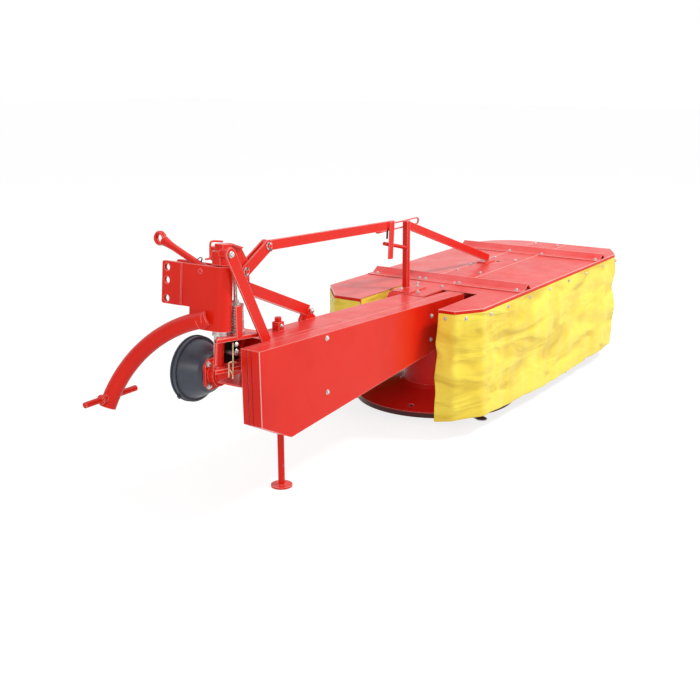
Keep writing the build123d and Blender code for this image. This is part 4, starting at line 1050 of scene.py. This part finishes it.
def build_bolts():
    """Bolts on the guard, deck, rib flanges and skirts."""
    guard = Build("guard_bolts", "beam_frame", "zinc", "zinc")
    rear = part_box("guard_cover")[0][1]
    for x, z in GUARD_BOLTS:
        guard.bolt((at(x, 0, z).x, rear, z), (0, -1, 0), 0.013, 0.0105)
    guard.done()
    deck = Build("deck_bolts", "cutter_unit", "zinc", "zinc")
    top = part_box("beam_cover")[1][2]
    deck_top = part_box("deck_rear")[1][2]
    for x, y in STRIP_BOLTS:
        deck.bolt(at(x, y, top), (0, 0, 1), 0.012, 0.0095)
    for x, y in POST_BOLTS:
        deck.bolt(at(x, y, top + 0.006), (0, 0, 1), 0.012, 0.0095)
    for base, places in RIB_BOLTS:
        for y in places:
            deck.bolt(at(base + 0.031, y, top + 0.003), (0, 0, 1), 0.012, 0.0105)
    deck.done()
    skirts = Build("skirt_bolts", "cutter_unit", "zinc", "zinc")
    height = deck_top - BOLT_BELOW
    out = CLOTH_OUT + CLOTH_THICK / 2
    low_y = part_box("deck_rear")[0][1]
    spots = [(at(x, 0, 0).x, low_y, Vector((0, -1, 0))) for x in SKIRT_BOLTS_REAR if x > 0]
    spots += [(ORIGIN.x, at(0, y, 0).y, Vector((-1, 0, 0))) for y in SKIRT_BOLTS_REAR if y < 0]
    spots += [(at(0.045, 0, 0).x, at(0, -0.369, 0).y, Vector((-0.54, -0.84, 0)).normalized())]
    places = walk(deck_path(), SKIRT_BOLT_STEP)
    for _, point, tangent in places:
        if point.x > at(1.68, 0, 0).x or point.y > ORIGIN.y + 0.10:
            spots.append((point.x, point.y, Vector((tangent.y, -tangent.x, 0))))
    for x, y, way in spots:
        skirts.bolt(Vector((x, y, height)) + way * out, way, 0.010, 0.0085, 0.0, 0.2, 0.002)
    skirts.done()


def build_fittings():
    """Pins, clips, cotters and nuts of the hitch end."""
    front_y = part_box("input_housing")[1][1]
    zinc = Build("hitch_bolts", "beam_frame", "zinc", "zinc")
    flange_rear = front_y - 0.012
    hub = JOIN["input_spin"]
    for x, z in FLANGE_BOLTS:
        zinc.bolt((hub.x + x, flange_rear, hub.z + z), (0, -1, 0), 0.017, 0.013)
    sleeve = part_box("leg_sleeve")
    middle = [(a + b) / 2 for a, b in zip(*sleeve)]
    zinc.bolt((middle[0], sleeve[0][1], sleeve[1][2] - 0.016), (0, -1, 0), 0.012, 0.0085)
    zinc.bolt(at(STRUT_UPPER[0], STRUT_UPPER[1] - 0.0085, STRUT_UPPER[2]), (0, -1, 0), 0.017, 0.0125)
    zinc.bolt(at(*BRACE_BOLT), (0, -1, 0), 0.014, 0.012)
    for height in (0.648, 0.623):
        zinc.bolt(at(-1.133, -0.1025, height), (0, -1, 0), 0.012, 0.009)
    zinc.done()
    levers = Build("lever_washers", "lever", "zinc", "zinc")
    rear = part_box("lift_lever")[0][1] + 0.008
    for joint in ("lever_turn", "bar_turn"):
        place = Vector((JOIN[joint].x, rear, JOIN[joint].z))
        washer = [(0.0155, 0.0), (0.0155, 0.0022), (0.0150, 0.0028), (0.0090, 0.0028)]
        levers.lathe(place, (0, -1, 0), washer, 28)
    levers.done()
    cotters = Build("lever_cotters", "lever", "steel", "steel")
    for joint, lean in (("lever_turn", 0.5), ("bar_turn", -0.4)):
        place = Vector((JOIN[joint].x, rear - 0.0055, JOIN[joint].z))
        way = Vector((math.sin(lean), 0, math.cos(lean)))
        side = Vector((way.z, 0, -way.x)) * 0.0016
        for sign in (-1, 1):
            ends = [place - way * 0.013 + side * sign, place + way * 0.010 + side * sign,
                    place + way * 0.015 + side * sign * 2.6 - Vector((0, 0.002 * sign, 0))]
            cotters.wire(ends, 0.0016, 8)
        loop = [place - way * 0.013 + side, place - way * 0.018 + side * 1.8, place - way * 0.022,
                place - way * 0.018 - side * 1.8, place - way * 0.013 - side]
        cotters.wire(loop, 0.0015, 8)
    cotters.done()
    clip = Build("fork_clip", "beam_frame", "brassy", "zinc")
    for route in CLIP_ROUTES:
        clip.wire([at(x, CLIP_Y - back, z) for x, back, z in route], CLIP_R, 10)
    clip.done()
    handle = Build("lock_handle", "beam_frame", "red_paint", "red_paint")
    handle.wire([at(x, HANDLE_Y, z) for x, z in HANDLE_ROUTE], HANDLE_R, 12)
    handle.done()
    strap = Build("fork_strap", "beam_frame", "zinc", "zinc")
    corner = at(-1.238, -0.094, 0.631)
    steps = ((0.011, 0, 0), (0.013, 0, 0.066), (0.002, 0, 0.066))
    strap.slab([corner] + [corner + Vector(step) for step in steps], 0.004, (0, 1, 0), 0.0008)
    strap.done()


def build_stage():
    mesh = bmesh.new()
    size = 30.0
    for x, y in ((-size, -size), (size, -size), (size, size), (-size, size)):
        mesh.verts.new((x, y, 0))
    mesh.faces.new(mesh.verts)
    data = bpy.data.meshes.new("floor")
    mesh.to_mesh(data)
    mesh.free()
    floor = bpy.data.objects.new("floor", data)
    bpy.context.scene.collection.objects.link(floor)
    data.materials.append(white_stage())


def build_lights():
    world = bpy.data.worlds.new("studio")
    bpy.context.scene.world = world
    world.use_nodes = True
    nodes, links = world.node_tree.nodes, world.node_tree.links
    light = nodes["Background"]
    light.inputs["Color"].default_value = (1.0, 1.0, 1.0, 1.0)
    light.inputs["Strength"].default_value = SKY
    white = nodes.new("ShaderNodeBackground")
    white.inputs["Color"].default_value = (1.0, 1.0, 1.0, 1.0)
    white.inputs["Strength"].default_value = 1.0
    mix = nodes.new("ShaderNodeMixShader")
    links.new(add_background_rays(nodes, links), mix.inputs["Fac"])
    links.new(light.outputs[0], mix.inputs[1])
    links.new(white.outputs[0], mix.inputs[2])
    links.new(mix.outputs[0], nodes["World Output"].inputs["Surface"])
    for name, place, size, power in LAMPS:
        data = bpy.data.lights.new(name, "AREA")
        data.shape = "DISK"
        data.size = size
        data.energy = power
        lamp = bpy.data.objects.new(name, data)
        bpy.context.scene.collection.objects.link(lamp)
        lamp.location = place
        lamp.rotation_euler = (Vector((0.1, 0, 0.4)) - Vector(place)).to_track_quat("-Z", "Y").to_euler()


def build_camera():
    data = bpy.data.cameras.new("camera")
    data.sensor_width = SENSOR
    data.lens = CAMERA_LENS
    camera = bpy.data.objects.new("camera", data)
    bpy.context.scene.collection.objects.link(camera)
    turn = Matrix.Rotation(math.radians(-CAMERA_YAW), 4, "Z")
    tilt = Matrix.Rotation(math.radians(90 - CAMERA_PITCH), 4, "X")
    roll = Matrix.Rotation(math.radians(CAMERA_ROLL), 4, "Z")
    camera.matrix_world = Matrix.Translation(at(*CAMERA_PLACE)) @ turn @ tilt @ roll
    bpy.context.scene.camera = camera


build_camera()
dress_nodes()
build_skirts()
build_backing()
build_ribs()
build_fork()
build_stay()
build_spring_bar()
build_strut()
build_edge_highlights()
build_cone_trim()
build_arm_roots()
build_strip_hole()
build_catch()
build_bolts()
build_fittings()
build_stage()
build_lights()
bpy.context.scene.view_settings.view_transform = "Standard"
